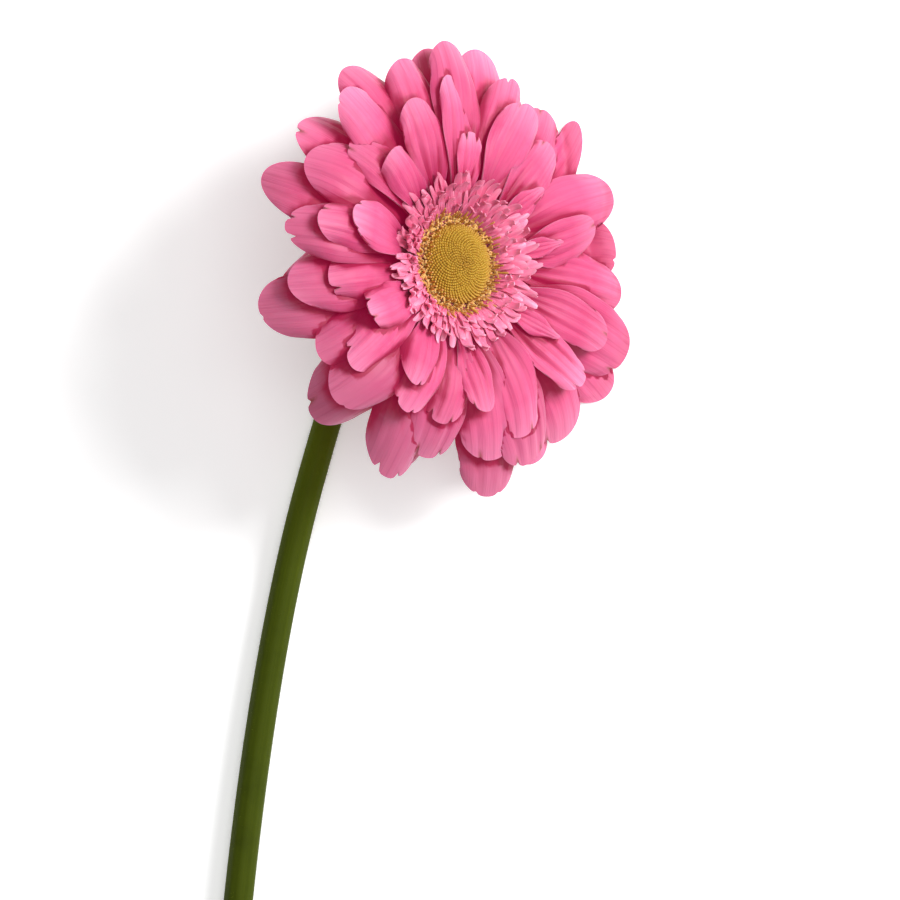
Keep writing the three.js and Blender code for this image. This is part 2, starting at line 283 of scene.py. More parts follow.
@dataclass(frozen=True)
class PetalFinish:
    """The skin of one side of a petal: veins, a deeper claw and small brown marks, with a painted highlight
    on the rim, painted shade on the edges, on some sides and where petals overlap, and a painted glow there.
    """

    name: str
    claw: Colour
    blade: Colour
    tip: Colour
    vein: Colour
    rim: Colour
    mark: Colour = srgb(128, 62, 38)
    # Painted shade where other petals hide the sky, the painted glow laid there, and the painted shade of
    # dull petals
    deep: Colour = srgb(140, 6, 54)
    painted_glow: Colour = srgb(88, 0, 30)
    shade: Colour = srgb(162, 92, 120)
    painted_occlusion_share: float = 0.92
    claw_shade_share: float = 1.0
    claw_painted_occlusion: float = 0.09
    vein_share: float = 0.42
    tone_share: float = 0.32
    blotch_share: float = 0.3
    edge_shade_share: float = 0.35
    rim_highlight_share: float = 0.4
    # The claw's end, and where the blade's colour begins and ends
    zones: tuple[float, float, float] = (0.08, 0.42, 0.72)
    # Where each pattern sets in and where it is whole
    painted_occlusion_band: tuple[float, float] = (0.02, 0.32)
    streak_band: tuple[float, float] = (0.44, 0.72)
    vein_band: tuple[float, float] = (0.46, 0.74)
    blotch_band: tuple[float, float] = (0.5, 0.85)
    line_weights: tuple[float, float] = (0.6, 0.55)
    edge_shade_power: float = 3.0
    rim_highlight_power: float = 12.0
    # How fast each pattern changes across, along and from petal to petal
    streak_stretch: tuple[float, ...] = (17.0, 1.3, 9.0)
    vein_stretch: tuple[float, ...] = (44.0, 0.9, 5.0)
    blotch_stretch: tuple[float, ...] = (2.2, 3.2, 7.0)
    relief: float = 0.00022
    roughness: float = 0.5

    def material(self) -> bpy.types.Material:
        """Makes the material."""
        paint = Paint(
            self.name,
            {
                "Subsurface Weight": 0.3,
                "Subsurface Radius": (1.0, 0.25, 0.4),
                "Subsurface Scale": 0.0018,
                # The strength of the painted glow
                "Emission Strength": 1.0,
                "Specular IOR Level": 0.32,
                "Sheen Weight": 0.12,
                "Sheen Roughness": 0.4,
            },
        )
        across, along = paint.uv()
        tone = paint.attribute("tone")
        place = (across, along, tone)
        stops = zip((*self.zones, 1.0), (self.claw, self.blade, self.blade, self.tip))
        blade = paint.ramp(along, list(stops))
        streaks = paint.streaks(place, self.streak_stretch, 4.0, 0.62)
        veins = paint.streaks(place, self.vein_stretch, 1.0)
        blotches = paint.streaks(place, self.blotch_stretch, 3.0)
        streak_weight, vein_weight = self.line_weights
        lines = paint.band(streaks, *self.streak_band) * streak_weight
        lines = lines + paint.band(veins, *self.vein_band) * vein_weight
        veined = paint.mix(lines * self.vein_share, blade, self.vein)
        mottled = paint.mix(paint.band(blotches, *self.blotch_band) * self.blotch_share, veined, self.tip)
        toned = paint.mix(paint.band(tone, 0.0, 1.0) * self.tone_share, mottled, self.claw)
        # Darker claws, darker still on one side of the head, where the claws are painted shade
        claw_and_painted_shade = paint.attribute("claw_and_painted_shade")
        claw_shaded = paint.mix(claw_and_painted_shade * self.claw_shade_share, toned, self.claw)
        side = abs(across * 2.0 - 1.0)
        # Painted shade darkens the long edges
        edge_shaded = paint.mix(side**self.edge_shade_power * self.edge_shade_share, claw_shaded, self.vein)
        # A painted highlight lightens the rim
        rim_highlighted = paint.mix(side**self.rim_highlight_power * self.rim_highlight_share, edge_shaded, self.rim)
        # Painted shade: where other petals hide the sky the colour turns deep crimson, and a painted glow is
        # laid there
        depth = paint.band(paint.attribute("depth") + claw_and_painted_shade * self.claw_painted_occlusion, *self.painted_occlusion_band)
        # Painted shade dulls the longer petals of one side of the head
        shaded = paint.mix(paint.attribute("shade"), rim_highlighted, self.shade)
        painted_occlusion = paint.mix(depth * self.painted_occlusion_share, shaded, self.deep)
        marked = paint.mix(paint.attribute("mark"), painted_occlusion, self.mark)
        relief = paint.bump(lines + blotches * 0.4, 0.32, self.relief)
        roughness = lines * 0.12 + self.roughness
        glow = paint.mix(depth, srgb(0, 0, 0), self.painted_glow)
        return paint.finish(marked, roughness, relief, glow)


@dataclass(frozen=True)
class StrapFinish:
    """The skin of a short narrow floret: dull and tan at its foot, pale at its lips."""

    name: str
    foot: Colour
    middle: Colour
    lip: Colour
    shade: Colour
    foot_reach: float = 0.25
    lip_from: float = 0.72
    streak_stretch: tuple[float, ...] = (5.0, 1.2, 11.0)
    streak_band: tuple[float, float] = (0.45, 0.8)
    streak_share: float = 0.35
    tone_share: float = 0.3
    edge_share: float = 0.35
    relief: float = 0.00015

    def material(self) -> bpy.types.Material:
        """Makes the material."""
        paint = Paint(
            self.name,
            {
                "Subsurface Weight": 0.2,
                "Subsurface Radius": (1.0, 0.35, 0.42),
                "Subsurface Scale": 0.0008,
                "Specular IOR Level": 0.4,
                "Roughness": 0.45,
            },
        )
        across, along = paint.uv()
        tone = paint.attribute("tone")
        zones = (0.0, self.foot_reach, self.lip_from, 1.0)
        stops = zip(zones, (self.foot, self.middle, self.middle, self.lip))
        ramp = paint.ramp(along, list(stops))
        streaks = paint.streaks((across, along, tone), self.streak_stretch, 3.0)
        shaded = paint.mix(paint.band(streaks, *self.streak_band) * self.streak_share, ramp, self.shade)
        # Tone darkens a strap at random, and on the frill also as painted shade
        toned = paint.mix(tone * self.tone_share, shaded, self.shade)
        # Paler edges: a painted highlight
        edge = abs(across * 2.0 - 1.0) ** 3.0
        lit = paint.mix(edge * self.edge_share, toned, self.lip)
        return paint.finish(lit, normal=paint.bump(streaks, 0.25, self.relief))


@dataclass(frozen=True)
class BudFinish:
    """The closed buds of the disc, greener in the middle and more yellow towards the rim, with painted shade
    low between them.
    """

    name: str
    heart: Colour
    field: Colour
    rim: Colour
    tip: Colour
    gap_shade: Colour
    gap_shade_share: float = 0.75
    tip_share: float = 0.4
    tone_share: float = 0.45
    # Where the field's colour begins and ends, from the middle of the disc to its rim
    field_band: tuple[float, float] = (0.3, 0.78)
    gap_shade_under: float = 0.6
    tip_over: float = 0.7
    tone_over: float = 0.35
    grain_scale: float = 2600.0
    relief: float = 0.0001

    def material(self) -> bpy.types.Material:
        """Makes the material."""
        paint = Paint(
            self.name,
            {
                "Subsurface Weight": 0.12,
                "Subsurface Radius": (1.0, 0.7, 0.2),
                "Subsurface Scale": 0.0006,
                "Specular IOR Level": 0.35,
                "Roughness": 0.55,
            },
        )
        reach = paint.attribute("reach")
        height = paint.attribute("height")
        tone = paint.attribute("tone")
        stops = zip((0.0, *self.field_band, 1.0), (self.heart, self.field, self.field, self.rim))
        outwards = paint.ramp(reach, list(stops))
        # Painted shade darkens the low part of each bud, between the buds
        low = 1.0 - paint.band(height, 0.0, self.gap_shade_under)
        gap_shaded = paint.mix(low * self.gap_shade_share, outwards, self.gap_shade)
        tipped = paint.mix(paint.band(height, self.tip_over, 1.0) * self.tip_share, gap_shaded, self.tip)
        toned = paint.mix(paint.band(tone, self.tone_over, 1.0) * self.tone_share, tipped, self.heart)
        return paint.finish(toned, normal=paint.bump(paint.grain(self.grain_scale), 0.2, self.relief))


@dataclass(frozen=True)
class StalkFinish:
    """The ribbed, faintly downy skin of the stem or of a bract."""

    name: str
    skin: Colour
    light: Colour
    deep: Colour
    flush: Colour
    ribs: float
    lit: Colour = srgb(88, 100, 6)
    rib_share: float = 0.45
    rib_band: tuple[float, float] = (0.4, 0.72)
    patch_share: float = 0.5
    patch_band: tuple[float, float] = (0.5, 0.78)
    patch_scale: float = 90.0
    grain_scale: float = 1500.0
    relief: float = 0.00025
    roughness: float = 0.56

    def material(self) -> bpy.types.Material:
        """Makes the material."""
        paint = Paint(
            self.name,
            {
                "Subsurface Weight": 0.08,
                "Subsurface Radius": (0.6, 1.0, 0.2),
                "Subsurface Scale": 0.0008,
                "Specular IOR Level": 0.1,
                "Sheen Weight": 0.1,
                "Sheen Roughness": 0.45,
                "Sheen Tint": (0.7, 0.85, 0.3, 1.0),
            },
        )
        across, along = paint.uv()
        fibres = paint.streaks((across, along, 0.0), (self.ribs, 2.0, 0.0), 3.0, 0.6)
        patches = paint.grain(self.patch_scale, 3.0)
        fine = paint.grain(self.grain_scale)
        lined = paint.mix(paint.band(fibres, *self.rib_band) * self.rib_share, self.skin, self.light)
        deepened = paint.mix(paint.band(patches, *self.patch_band) * self.patch_share, lined, self.deep)
        # Painted light on the neck
        lit = paint.mix(paint.attribute("lit"), deepened, self.lit)
        flushed = paint.mix(paint.attribute("flush"), lit, self.flush)
        relief = paint.bump(fibres * 0.8 + fine * 0.35, 0.3, self.relief)
        return paint.finish(flushed, fine * 0.16 + self.roughness, relief)


@dataclass(frozen=True)
class FleshFinish:
    """The cut face of the stem: a green skin, a ring of paler bundles and watery pith."""

    name: str
    skin: Colour
    flesh: Colour
    pith: Colour
    # Where the flesh begins and ends and the skin begins, from the middle outwards
    zones: tuple[float, float, float] = (0.5, 0.86, 0.95)
    cell_share: float = 0.4
    cell_band: tuple[float, float] = (0.5, 0.75)
    cell_scale: float = 1900.0
    relief: float = 0.0002

    def material(self) -> bpy.types.Material:
        """Makes the material."""
        paint = Paint(self.name, {"Subsurface Weight": 0.2, "Subsurface Scale": 0.001, "Roughness": 0.35})
        reach = paint.attribute("reach")
        cells = paint.grain(self.cell_scale, 3.0)
        stops = zip((0.0, *self.zones), (self.pith, self.flesh, self.flesh, self.skin))
        rings = paint.ramp(reach, list(stops))
        spotted = paint.mix(paint.band(cells, *self.cell_band) * self.cell_share, rings, self.pith)
        return paint.finish(spotted, normal=paint.bump(cells, 0.35, self.relief))


@dataclass(frozen=True)
class PlainFinish:
    """A faintly mottled finish for down and for the floor."""

    name: str
    colour: Colour
    second: Colour
    scale: float
    roughness: float
    glow: float = 0.0

    def material(self) -> bpy.types.Material:
        """Makes the material."""
        paint = Paint(
            self.name,
            {"Roughness": self.roughness, "Specular IOR Level": 0.2, "Emission Strength": self.glow},
        )
        return paint.finish(paint.mix(paint.grain(self.scale), self.colour, self.second))


# Meshes


class Shading(Enum):
    """How a finished mesh is shaded."""

    SMOOTH = "smooth"
    BY_ANGLE = "by angle"


def deselect_all() -> None:
    """Leaves nothing selected."""
    bpy.ops.object.select_all(action="DESELECT")


def choose(thing: bpy.types.Object) -> None:
    """Makes one object the only selected and the active one."""
    deselect_all()
    thing.select_set(True)
    bpy.context.view_layer.objects.active = thing


def apply_modifier(thing: bpy.types.Object, kind: str, **settings: object) -> None:
    """Adds a modifier and applies it.

    Args:
        thing: The object.
        kind: The modifier's type.
        **settings: Its properties.
    """
    choose(thing)
    modifier = thing.modifiers.new(kind.title(), kind)
    for key, value in settings.items():
        setattr(modifier, key, value)
    bpy.ops.object.modifier_apply(modifier=modifier.name)


def close_seams(thing: bpy.types.Object, reach: float = 2e-6) -> None:
    """Merges doubled points and turns the faces outwards.

    Args:
        thing: The object, whose surface is closed once its doubles are merged.
        reach: How near two points must lie to be one, in metres.
    """
    choose(thing)
    bpy.ops.object.mode_set(mode="EDIT")
    bpy.ops.mesh.select_all(action="SELECT")
    bpy.ops.mesh.remove_doubles(threshold=reach)
    bpy.ops.mesh.dissolve_degenerate(threshold=1e-7)
    bpy.ops.mesh.select_all(action="SELECT")
    bpy.ops.mesh.normals_make_consistent(inside=False)
    bpy.ops.object.mode_set(mode="OBJECT")


def shade(thing: bpy.types.Object, how: Shading, angle: float = 50.0) -> None:
    """Shades a mesh smooth, all over or up to an angle in degrees."""
    choose(thing)
    if how is Shading.SMOOTH:
        bpy.ops.object.shade_smooth()
    else:
        bpy.ops.object.shade_smooth_by_angle(angle=math.radians(angle))


def points_of(thing: bpy.types.Object) -> np.ndarray:
    """Reads a mesh's points as rows of x, y and z."""
    flat = np.zeros(len(thing.data.vertices) * 3)
    thing.data.vertices.foreach_get("co", flat)
    return flat.reshape(-1, 3)


def set_points(thing: bpy.types.Object, points: np.ndarray) -> None:
    """Writes a mesh's points."""
    thing.data.vertices.foreach_set("co", np.asarray(points, np.float32).ravel())
    thing.data.update()


def set_attribute(thing: bpy.types.Object, name: str, values: np.ndarray | float) -> None:
    """Gives each point of a mesh a number that its material reads.

    Args:
        thing: The object.
        name: The attribute's name.
        values: One number for all points, or one for each.
    """
    held = thing.data.attributes.get(name) or thing.data.attributes.new(name, "FLOAT", "POINT")
    each = np.broadcast_to(np.asarray(values, np.float32), (len(thing.data.vertices),))
    held.data.foreach_set("value", np.ascontiguousarray(each))


def sheet(name: str, columns: int, rows: int) -> bpy.types.Object:
    """Adds a flat grid whose x and y run from -1 to 1.

    Args:
        name: The object's name.
        columns: How many faces it has across.
        rows: How many faces it has along.

    Returns:
        The grid, with a UV map.
    """
    deselect_all()
    bpy.ops.mesh.primitive_grid_add(x_subdivisions=columns, y_subdivisions=rows, size=2)
    made = bpy.context.object
    made.name = name
    return made


def sheet_place(blank: bpy.types.Object) -> tuple[np.ndarray, np.ndarray]:
    """Gives the place of each point of a sheet: across from -1 to 1, and along from 0 to 1."""
    flat = points_of(blank)
    return flat[:, 0], (flat[:, 1] + 1) / 2


def copy_of(source: bpy.types.Object) -> bpy.types.Object:
    """Copies an object with a mesh of its own."""
    made = source.copy()
    made.data = source.data.copy()
    bpy.context.scene.collection.objects.link(made)
    return made


def join(name: str, things: Sequence[bpy.types.Object]) -> bpy.types.Object:
    """Joins objects into one.

    Args:
        name: The joined object's name.
        things: The objects.

    Returns:
        The joined object.
    """
    deselect_all()
    for thing in things:
        thing.select_set(True)
    bpy.context.view_layer.objects.active = things[0]
    if len(things) > 1:
        bpy.ops.object.join()
    made = bpy.context.object
    made.name = name
    made.data.name = name
    return made


def remove(thing: bpy.types.Object) -> None:
    """Deletes an object that was only a pattern for others."""
    choose(thing)
    bpy.ops.object.delete()


def settle(thing: bpy.types.Object, materials: Sequence[bpy.types.Material], slot: str, *nodes: str) -> None:
    """Dresses a finished piece and ties it to the frame.

    Args:
        thing: The piece.
        materials: Its materials, in the order of its faces' indices.
        slot: The record's material slot; not used.
        *nodes: The nodes that it stands for.
    """
    for material in materials[len(thing.data.materials) :]:
        thing.data.materials.append(material)
    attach(thing, "root")
    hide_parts(*nodes)
    thing.data.calc_loop_triangles()
    LOG.info("%s: %d triangles", thing.name, len(thing.data.loop_triangles))


def spikes(name: str, feet: np.ndarray, tips: np.ndarray, radius: float) -> bpy.types.Object:
    """Makes one closed three-sided spike from each foot to its tip.

    Args:
        name: The object's name.
        feet: The middle of each foot, in metres.
        tips: The point of each spike, in metres.
        radius: The radius of a foot, in metres.

    Returns:
        The object that holds them all.
    """
    axis = tips - feet
    axis /= np.linalg.norm(axis, axis=1, keepdims=True)
    steep = np.abs(axis[:, 2:3]) >= 0.9
    side = np.cross(axis, np.where(steep, np.array([[1.0, 0.0, 0.0]]), np.array([[0.0, 0.0, 1.0]])))
    side /= np.linalg.norm(side, axis=1, keepdims=True)
    other = np.cross(axis, side)
    turns = [number * FULL_TURN / 3 for number in range(3)]
    corners = [feet + radius * (math.cos(turn) * side + math.sin(turn) * other) for turn in turns]
    points = np.stack([*corners, tips], axis=1).reshape(-1, 3)
    faces = []
    for start in range(0, len(points), 4):
        a, b, c, tip = start, start + 1, start + 2, start + 3
        faces += [(a, c, b), (a, b, tip), (b, c, tip), (c, a, tip)]
    mesh = bpy.data.meshes.new(name)
    mesh.from_pydata(points.tolist(), [], faces)
    mesh.update()
    made = bpy.data.objects.new(name, mesh)
    bpy.context.scene.collection.objects.link(made)
    return made


# The head and what it is made of


@dataclass(frozen=True)
class HeadPlace:
    """Where the head's own frame stands: its origin on the receptacle, its z along the flower's axis."""

    height: float = 31.5
    tilt: float = 38.0
    towards: float = 9.0
    petal_lowest: float = 0.35
    blend: float = 1.5

    def turn(self) -> Matrix:
        """Gives the rotation of the head."""
        azimuth = math.radians(self.towards)
        lean = Matrix.Rotation(math.radians(self.tilt), 3, "Y")
        return Matrix.Rotation(azimuth, 3, "Z") @ lean @ Matrix.Rotation(-azimuth, 3, "Z")

    def origin(self) -> Vector:
        """Finds the head's origin, in millimetres, on the axis of the disc in the frame."""
        disc = points_of(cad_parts["disc_florets"]).mean(axis=0) / MM
        axis = self.turn() @ Vector((0, 0, 1))
        return Vector(disc) - axis * ((disc[2] - self.height) / axis.z)

    def place(self, points: np.ndarray) -> np.ndarray:
        """Moves points from the head's frame, in millimetres, to the row's, in metres."""
        return (points @ np.array(self.turn()).T + np.array(self.origin())) * MM

    def lay(self, points: np.ndarray) -> np.ndarray:
        """Bends what would reach below the surface along it.

        Args:
            points: Points in the row's frame, in metres.

        Returns:
            The points, eased onto the surface.
        """
        height = points[:, 2] / MM
        overlap = np.clip(self.blend - np.abs(height - self.petal_lowest), 0, None) / self.blend
        points[:, 2] = (np.maximum(height, self.petal_lowest) + overlap**2 * self.blend / 4) * MM
        return points


HEAD = HeadPlace()


@dataclass(frozen=True)
class Variation:
    """How much the florets of a whorl differ: shares of length and width, and degrees of the rest."""

    length: float
    width: float
    turn: float
    lift: float
    swerve: float


@dataclass(frozen=True)
class Floret:
    """One floret or bract, in millimetres and radians."""

    index: int
    salt: int
    azimuth: float
    root: float
    level: float
    length: float
    width: float
    root_lift: float
    tip_lift: float
    swerve: float

    def own(self, salt: int) -> float:
        """Gives a draw from -1 to 1 that is this floret's own."""
        return draw(self.index, self.salt * 7 + salt)

    @property
    def low_side(self) -> float:
        """Says how far down the tilted head's slope the floret points: 1 lowest, -1 highest."""
        return math.cos(self.azimuth - math.radians(HEAD.towards))

    def facing(self, side: float) -> float:
        """Says how much the floret points to one side, given in degrees: 1 straight, 0 across or away."""
        return max(0.0, math.cos(self.azimuth - math.radians(side)))

    def between(self, high: float, low: float) -> float:
        """Mixes what holds on the high side of the head and what holds on the low side."""
        return (high + low) / 2 - (high - low) / 2 * self.low_side

    def points(
        self,
        along: np.ndarray,
        aside: np.ndarray,
        rise: np.ndarray,
        roll: np.ndarray | float,
        curl: float,
        curl_from: float = 0.62,
    ) -> np.ndarray:
        """Bends a flat sheet into this floret, in the row's frame.

        Args:
            along: Share of the length of each point.
            aside: Distance of each point from the centre line, in millimetres.
            rise: Height of each point over the centre line, in millimetres.
            roll: Angle by which the sheet is rolled round its centre line.
            curl: Angle that the tip bends besides, from curl_from to the end.
            curl_from: Share of the length where the curl begins.

        Returns:
            The points, in metres.
        """
        links = 80
        steps = np.linspace(0, 1, links + 1)
        lift = self.root_lift + (self.tip_lift - self.root_lift) * steps
        lift = lift + curl * ease(steps, curl_from, 1 - curl_from)
        middle = (lift[1:] + lift[:-1]) / 2
        out = np.concatenate([[0], np.cumsum(np.cos(middle))]) * self.length / links
        up = np.concatenate([[0], np.cumsum(np.sin(middle))]) * self.length / links
        here = np.interp(along, steps, lift)
        above = rise + aside * np.sin(roll)
        x = self.root + np.interp(along, steps, out) - above * np.sin(here)
        y = aside * np.cos(roll) + self.length * math.sin(self.swerve) * along**2
        z = self.level + np.interp(along, steps, up) + above * np.cos(here)
        turned_x = x * math.cos(self.azimuth) - y * math.sin(self.azimuth)
        turned_y = x * math.sin(self.azimuth) + y * math.cos(self.azimuth)
        return HEAD.place(np.stack([turned_x, turned_y, z], axis=1))


@dataclass(frozen=True)
class Whorl:
    """One ring of florets or bracts, in millimetres, with lifts in degrees above the plane of the head."""

    name: str
    count: int
    root: float
    level: float
    length: float
    width: float
    root_lift: float
    tip_lift: float
    salt: int
    start: float = 0.0
    high_length: float = 0.0
    high_width: float = 0.0
    high_lift: float = 0.0

    def florets(self, varies: Variation) -> list[Floret]:
        """Gives each floret its own place and size.

        Args:
            varies: How much they differ.

        Returns:
            The florets, in order round the head.
        """
        step = FULL_TURN / self.count
        made = []
        for index in range(self.count):
            own = [draw(index, self.salt * 7 + salt) for salt in range(1, 7)]
            azimuth = (index + self.start + 0.5 * (self.salt % 2) + varies.turn * own[0]) * step
            high = -math.cos(azimuth - math.radians(HEAD.towards))
            made.append(
                Floret(
                    index=index,
                    salt=self.salt,
                    azimuth=azimuth,
                    root=self.root,
                    level=self.level,
                    length=(self.length + self.high_length * high) * (1 + varies.length * own[1]),
                    width=(self.width + self.high_width * high) * (1 + varies.width * own[2]),
                    root_lift=math.radians(self.root_lift + self.high_lift * high + varies.lift * own[3]),
                    tip_lift=math.radians(self.tip_lift + self.high_lift * high + 2 * varies.lift * own[4]),
                    swerve=math.radians(varies.swerve * own[5]),
                )
            )
        return made


def whorl_rows(columns: str, *rows: Sequence[object]) -> tuple[Whorl, ...]:
    """Makes whorls from rows of their values.

    Args:
        columns: The names of the values, in the order of each row.
        *rows: One row for each whorl.

    Returns:
        The whorls.
    """
    return tuple(Whorl(**dict(zip(columns.split(), row))) for row in rows)


Bender = Callable[[bpy.types.Object, Floret], bpy.types.Object]


def bend_all(whorl: Whorl, varies: Variation, grid: tuple[int, int], bend: Bender) -> list[bpy.types.Object]:
    """Bends a flat sheet into each floret of a whorl.

    Args:
        whorl: The whorl.
        varies: How much its florets differ.
        grid: How many faces a sheet has across and along.
        bend: Copies the sheet and bends the copy into one floret.

    Returns:
        The florets, still without thickness.
    """
    blank = sheet("blank", *grid)
    made = [bend(blank, floret) for floret in whorl.florets(varies)]
    remove(blank)
    return made


def finish_whorl(
    name: str,
    florets: Sequence[bpy.types.Object],
    thickness: float,
    angle: float,
    finishes: Sequence[bpy.types.Material],
    slot: str,
    node: str,
) -> bpy.types.Object:
    """Joins the florets of a whorl, gives them their thickness and dresses them.

    Args:
        name: The piece's name.
        florets: The florets, without thickness.
        thickness: Their thickness, in millimetres.
        angle: The sharpest angle that is shaded smooth, in degrees.
        finishes: The finish of their backs, and that of their faces where it is another one.
        slot: The record's material slot.
        node: The node that the piece stands for.

    Returns:
        The finished piece.
    """
    piece = join(name, florets)
    for finish in finishes:
        piece.data.materials.append(finish)
    faces = len(finishes) - 1
    apply_modifier(piece, "SOLIDIFY", thickness=thickness * MM, offset=0.0, material_offset=faces)
    shade(piece, Shading.BY_ANGLE, angle)
    settle(piece, finishes, slot, node)
    return piece


@dataclass(frozen=True)
class RayFlorets:
    """The large petals in their whorls. Pairs of sizes hold on the high and on the low side of the head."""

    whorls: tuple[Whorl, ...] = whorl_rows(
        "name count root level length width root_lift tip_lift salt start high_length high_width high_lift",
        ("rays_back", 17, 15.2, -0.9, 42.5, 16.7, 4, -8.4, 314, 0.47, -3, 0, 3),
        ("rays_middle", 17, 15.0, -0.3, 38.2, 16.5, 14, -2.5, 138, -0.03, -3.5, 0, 4),
        ("rays_front", 14, 15.0, 0.3, 29.5, 13.0, 24, 6, 3, 0, -1.0, 1.4, 5),
        ("rays_narrow", 9, 15.4, 0.6, 20.5, 8.8, 32, 16, 4, 0, 3.0, 3.6, 5),
    )
    varies: Variation = Variation(length=0.1, width=0.15, turn=0.3, lift=3.6, swerve=8)
    grid: tuple[int, int] = (30, 32)
    thickness: float = 0.4
    smooth_angle: float = 55
    # The outline
    claw: tuple[float, float] = (0.38, 0.14)
    widening: tuple[float, float] = (1.3, 1.8)
    widest_at: tuple[float, float] = (0.68, 0.56)
    shoulder: float = 0.88
    narrow_shoulder: float = 0.45
    pointed_under: float = 8.0
    # The tip
    tip_reach: tuple[float, float] = (0.25, 0.17)
    tip_varies: float = 0.25
    narrow_tip: float = 0.6
    nick_over: float = -0.1
    nick_depth: tuple[float, float] = (0.5, 1.7)
    nick_place: float = 0.3
    nick_slope: float = 0.15
    mark_shares: tuple[float, float] = (0.1, 0.9)
    # The relief
    cup: float = 0.9
    trough: float = 0.45
    crown: tuple[float, float] = (0.28, 0.17)
    crown_varies: float = 0.45
    flute: tuple[float, float] = (0.35, 0.85)
    flute_varies: float = 0.5
    flute_place: float = 0.3
    flute_reach: float = 0.08
    fluted_width: float = 13.0
    ripple: float = 0.35
    ruffle: float = 0.3
    # The bend
    droop: float = 9.0
    shingle: float = 9.0
    twist: float = 9.0
    curl: tuple[float, float] = (-1.2, -0.25)
    curl_varies: float = 10.0
    curl_from: float = 0.42
    # The painted light and shade, and the rays that find how much sky other petals hide
    painted_shade: float = 110.0
    painted_shade_shares: tuple[float, float] = (0.3, 0.9)
    painted_shade_reach: float = 0.75
    lit_length: float = 28.0
    dark_length: float = 42.0
    shading: float = 0.6
    shaded_side: float = 235.0
    gloomy_side: float = 265.0
    gloom: tuple[float, float] = (1.8, 0.8)
    sky_rays: int = 20
    sky_reach: float = 13.0
    face: PetalFinish = PetalFinish(
        "petal_face",
        claw=srgb(172, 36, 88),
        blade=srgb(226, 86, 135),
        tip=srgb(245, 132, 172),
        vein=srgb(180, 44, 102),
        rim=srgb(252, 168, 200),
    )
    back: PetalFinish = PetalFinish(
        "petal_back",
        claw=srgb(190, 100, 134),
        blade=srgb(214, 126, 158),
        tip=srgb(226, 144, 174),
        vein=srgb(188, 94, 130),
        rim=srgb(236, 170, 194),
        roughness=0.6,
    )

    def pointed(self, floret: Floret) -> float:
        """Says how pointed a petal is: 0 for a broad round one, 1 for a narrow one."""
        return float(ease(self.pointed_under - floret.width, 0.0, 2.0))

    def half_width(self, floret: Floret, along: np.ndarray) -> np.ndarray:
        """Gives the outline of a petal as a share of its greatest half width."""
        widening = np.sin(np.minimum(along / floret.between(*self.widest_at), 1) * math.pi / 2)
        widening = widening ** floret.between(*self.widening)
        narrowing = 1 - self.shoulder + self.narrow_shoulder * self.pointed(floret)
        claw = floret.between(*self.claw)
        return (claw + (1 - claw) * widening) * (1 - narrowing * ease(along, 0.6, 0.4))

    def nicks(self, floret: Floret) -> list[tuple[float, float]]:
        """Gives the column and the depth of each nick in a petal's tip."""
        least, more = self.nick_depth
        nicks = []
        for number, side in enumerate((-1, 1)):
            size = floret.own(20 + number)
            if size > self.nick_over:
                place = side * self.nick_place * (1 + 0.5 * floret.own(30 + number))
                nicks.append((round(place * self.grid[0] / 2), (least + more * abs(size)) / floret.length))
        return nicks

    def tip(self, floret: Floret, place: np.ndarray, along: np.ndarray) -> tuple[np.ndarray, np.ndarray]:
        """Rounds and nicks the tip of a petal.

        Args:
            floret: The petal's place and size.
            place: The place of each point across the sheet, from -1 to 1.
            along: Its place along the sheet, from 0 to 1.

        Returns:
            The share of the length that each point reaches, and how brown its nick is.
        """
        varies = 1 + self.tip_varies * floret.own(11) + self.narrow_tip * self.pointed(floret)
        round_tip = floret.between(*self.tip_reach) * varies * round_end(np.sin(place * math.pi / 2))
        reach = along * (1 - round_tip * along**4)
        mark = np.zeros_like(along)
        column = np.rint(place * self.grid[0] / 2)
        for nick, depth in self.nicks(floret):
            notch = (column == nick) + self.nick_slope * (np.abs(column - nick) == 1)
            reach = reach - depth * notch * along**16
            mark = np.maximum(mark, notch * ease(along, 0.9, 0.1))
        return reach, mark * self.mark_shares[floret.own(12) > 0.0]

    def relief(self, floret: Floret, place: np.ndarray, along: np.ndarray) -> np.ndarray:
        """Gives how far each point of a petal stands over its centre line.

        Args:
            floret: The petal's place and size.
            place: The place of each point across the sheet, from -1 to 1.
            along: Its place along the sheet, from 0 to 1.

        Returns:
            The heights, in millimetres.
        """
        across = np.sin(place * math.pi / 2)
        side = np.abs(across)
        hollow = ease(along, 0.0, 0.5) * (-self.trough + (self.trough + self.cup * (1 - along)) * side**2)
        crown = floret.between(*self.crown) * floret.width * (1 + self.crown_varies * floret.own(13))
        flute = floret.between(*self.flute) * (1 + self.flute_varies * floret.own(14))
        flute = flute * min(1, floret.width / self.fluted_width)
        outer_folds = np.exp(-(((np.abs(place) - self.flute_place) / self.flute_reach) ** 2))
        folds = outer_folds + 0.5 * np.exp(-((place / self.flute_reach) ** 2))
        grooves = flute * folds * np.sin(math.pi * np.clip(along, 0, 1)) ** 0.5
        phase = floret.own(15) * math.pi
        ripple = self.ripple * np.sin(along * 7 + phase) * across * along
        ruffle = self.ruffle * np.sin(along * 13 + phase * 2) * side**3 * ease(along, 0.4, 0.5)
        return hollow - crown * ease(along, 0.2, 0.5) * side**2.4 - grooves + ripple + ruffle

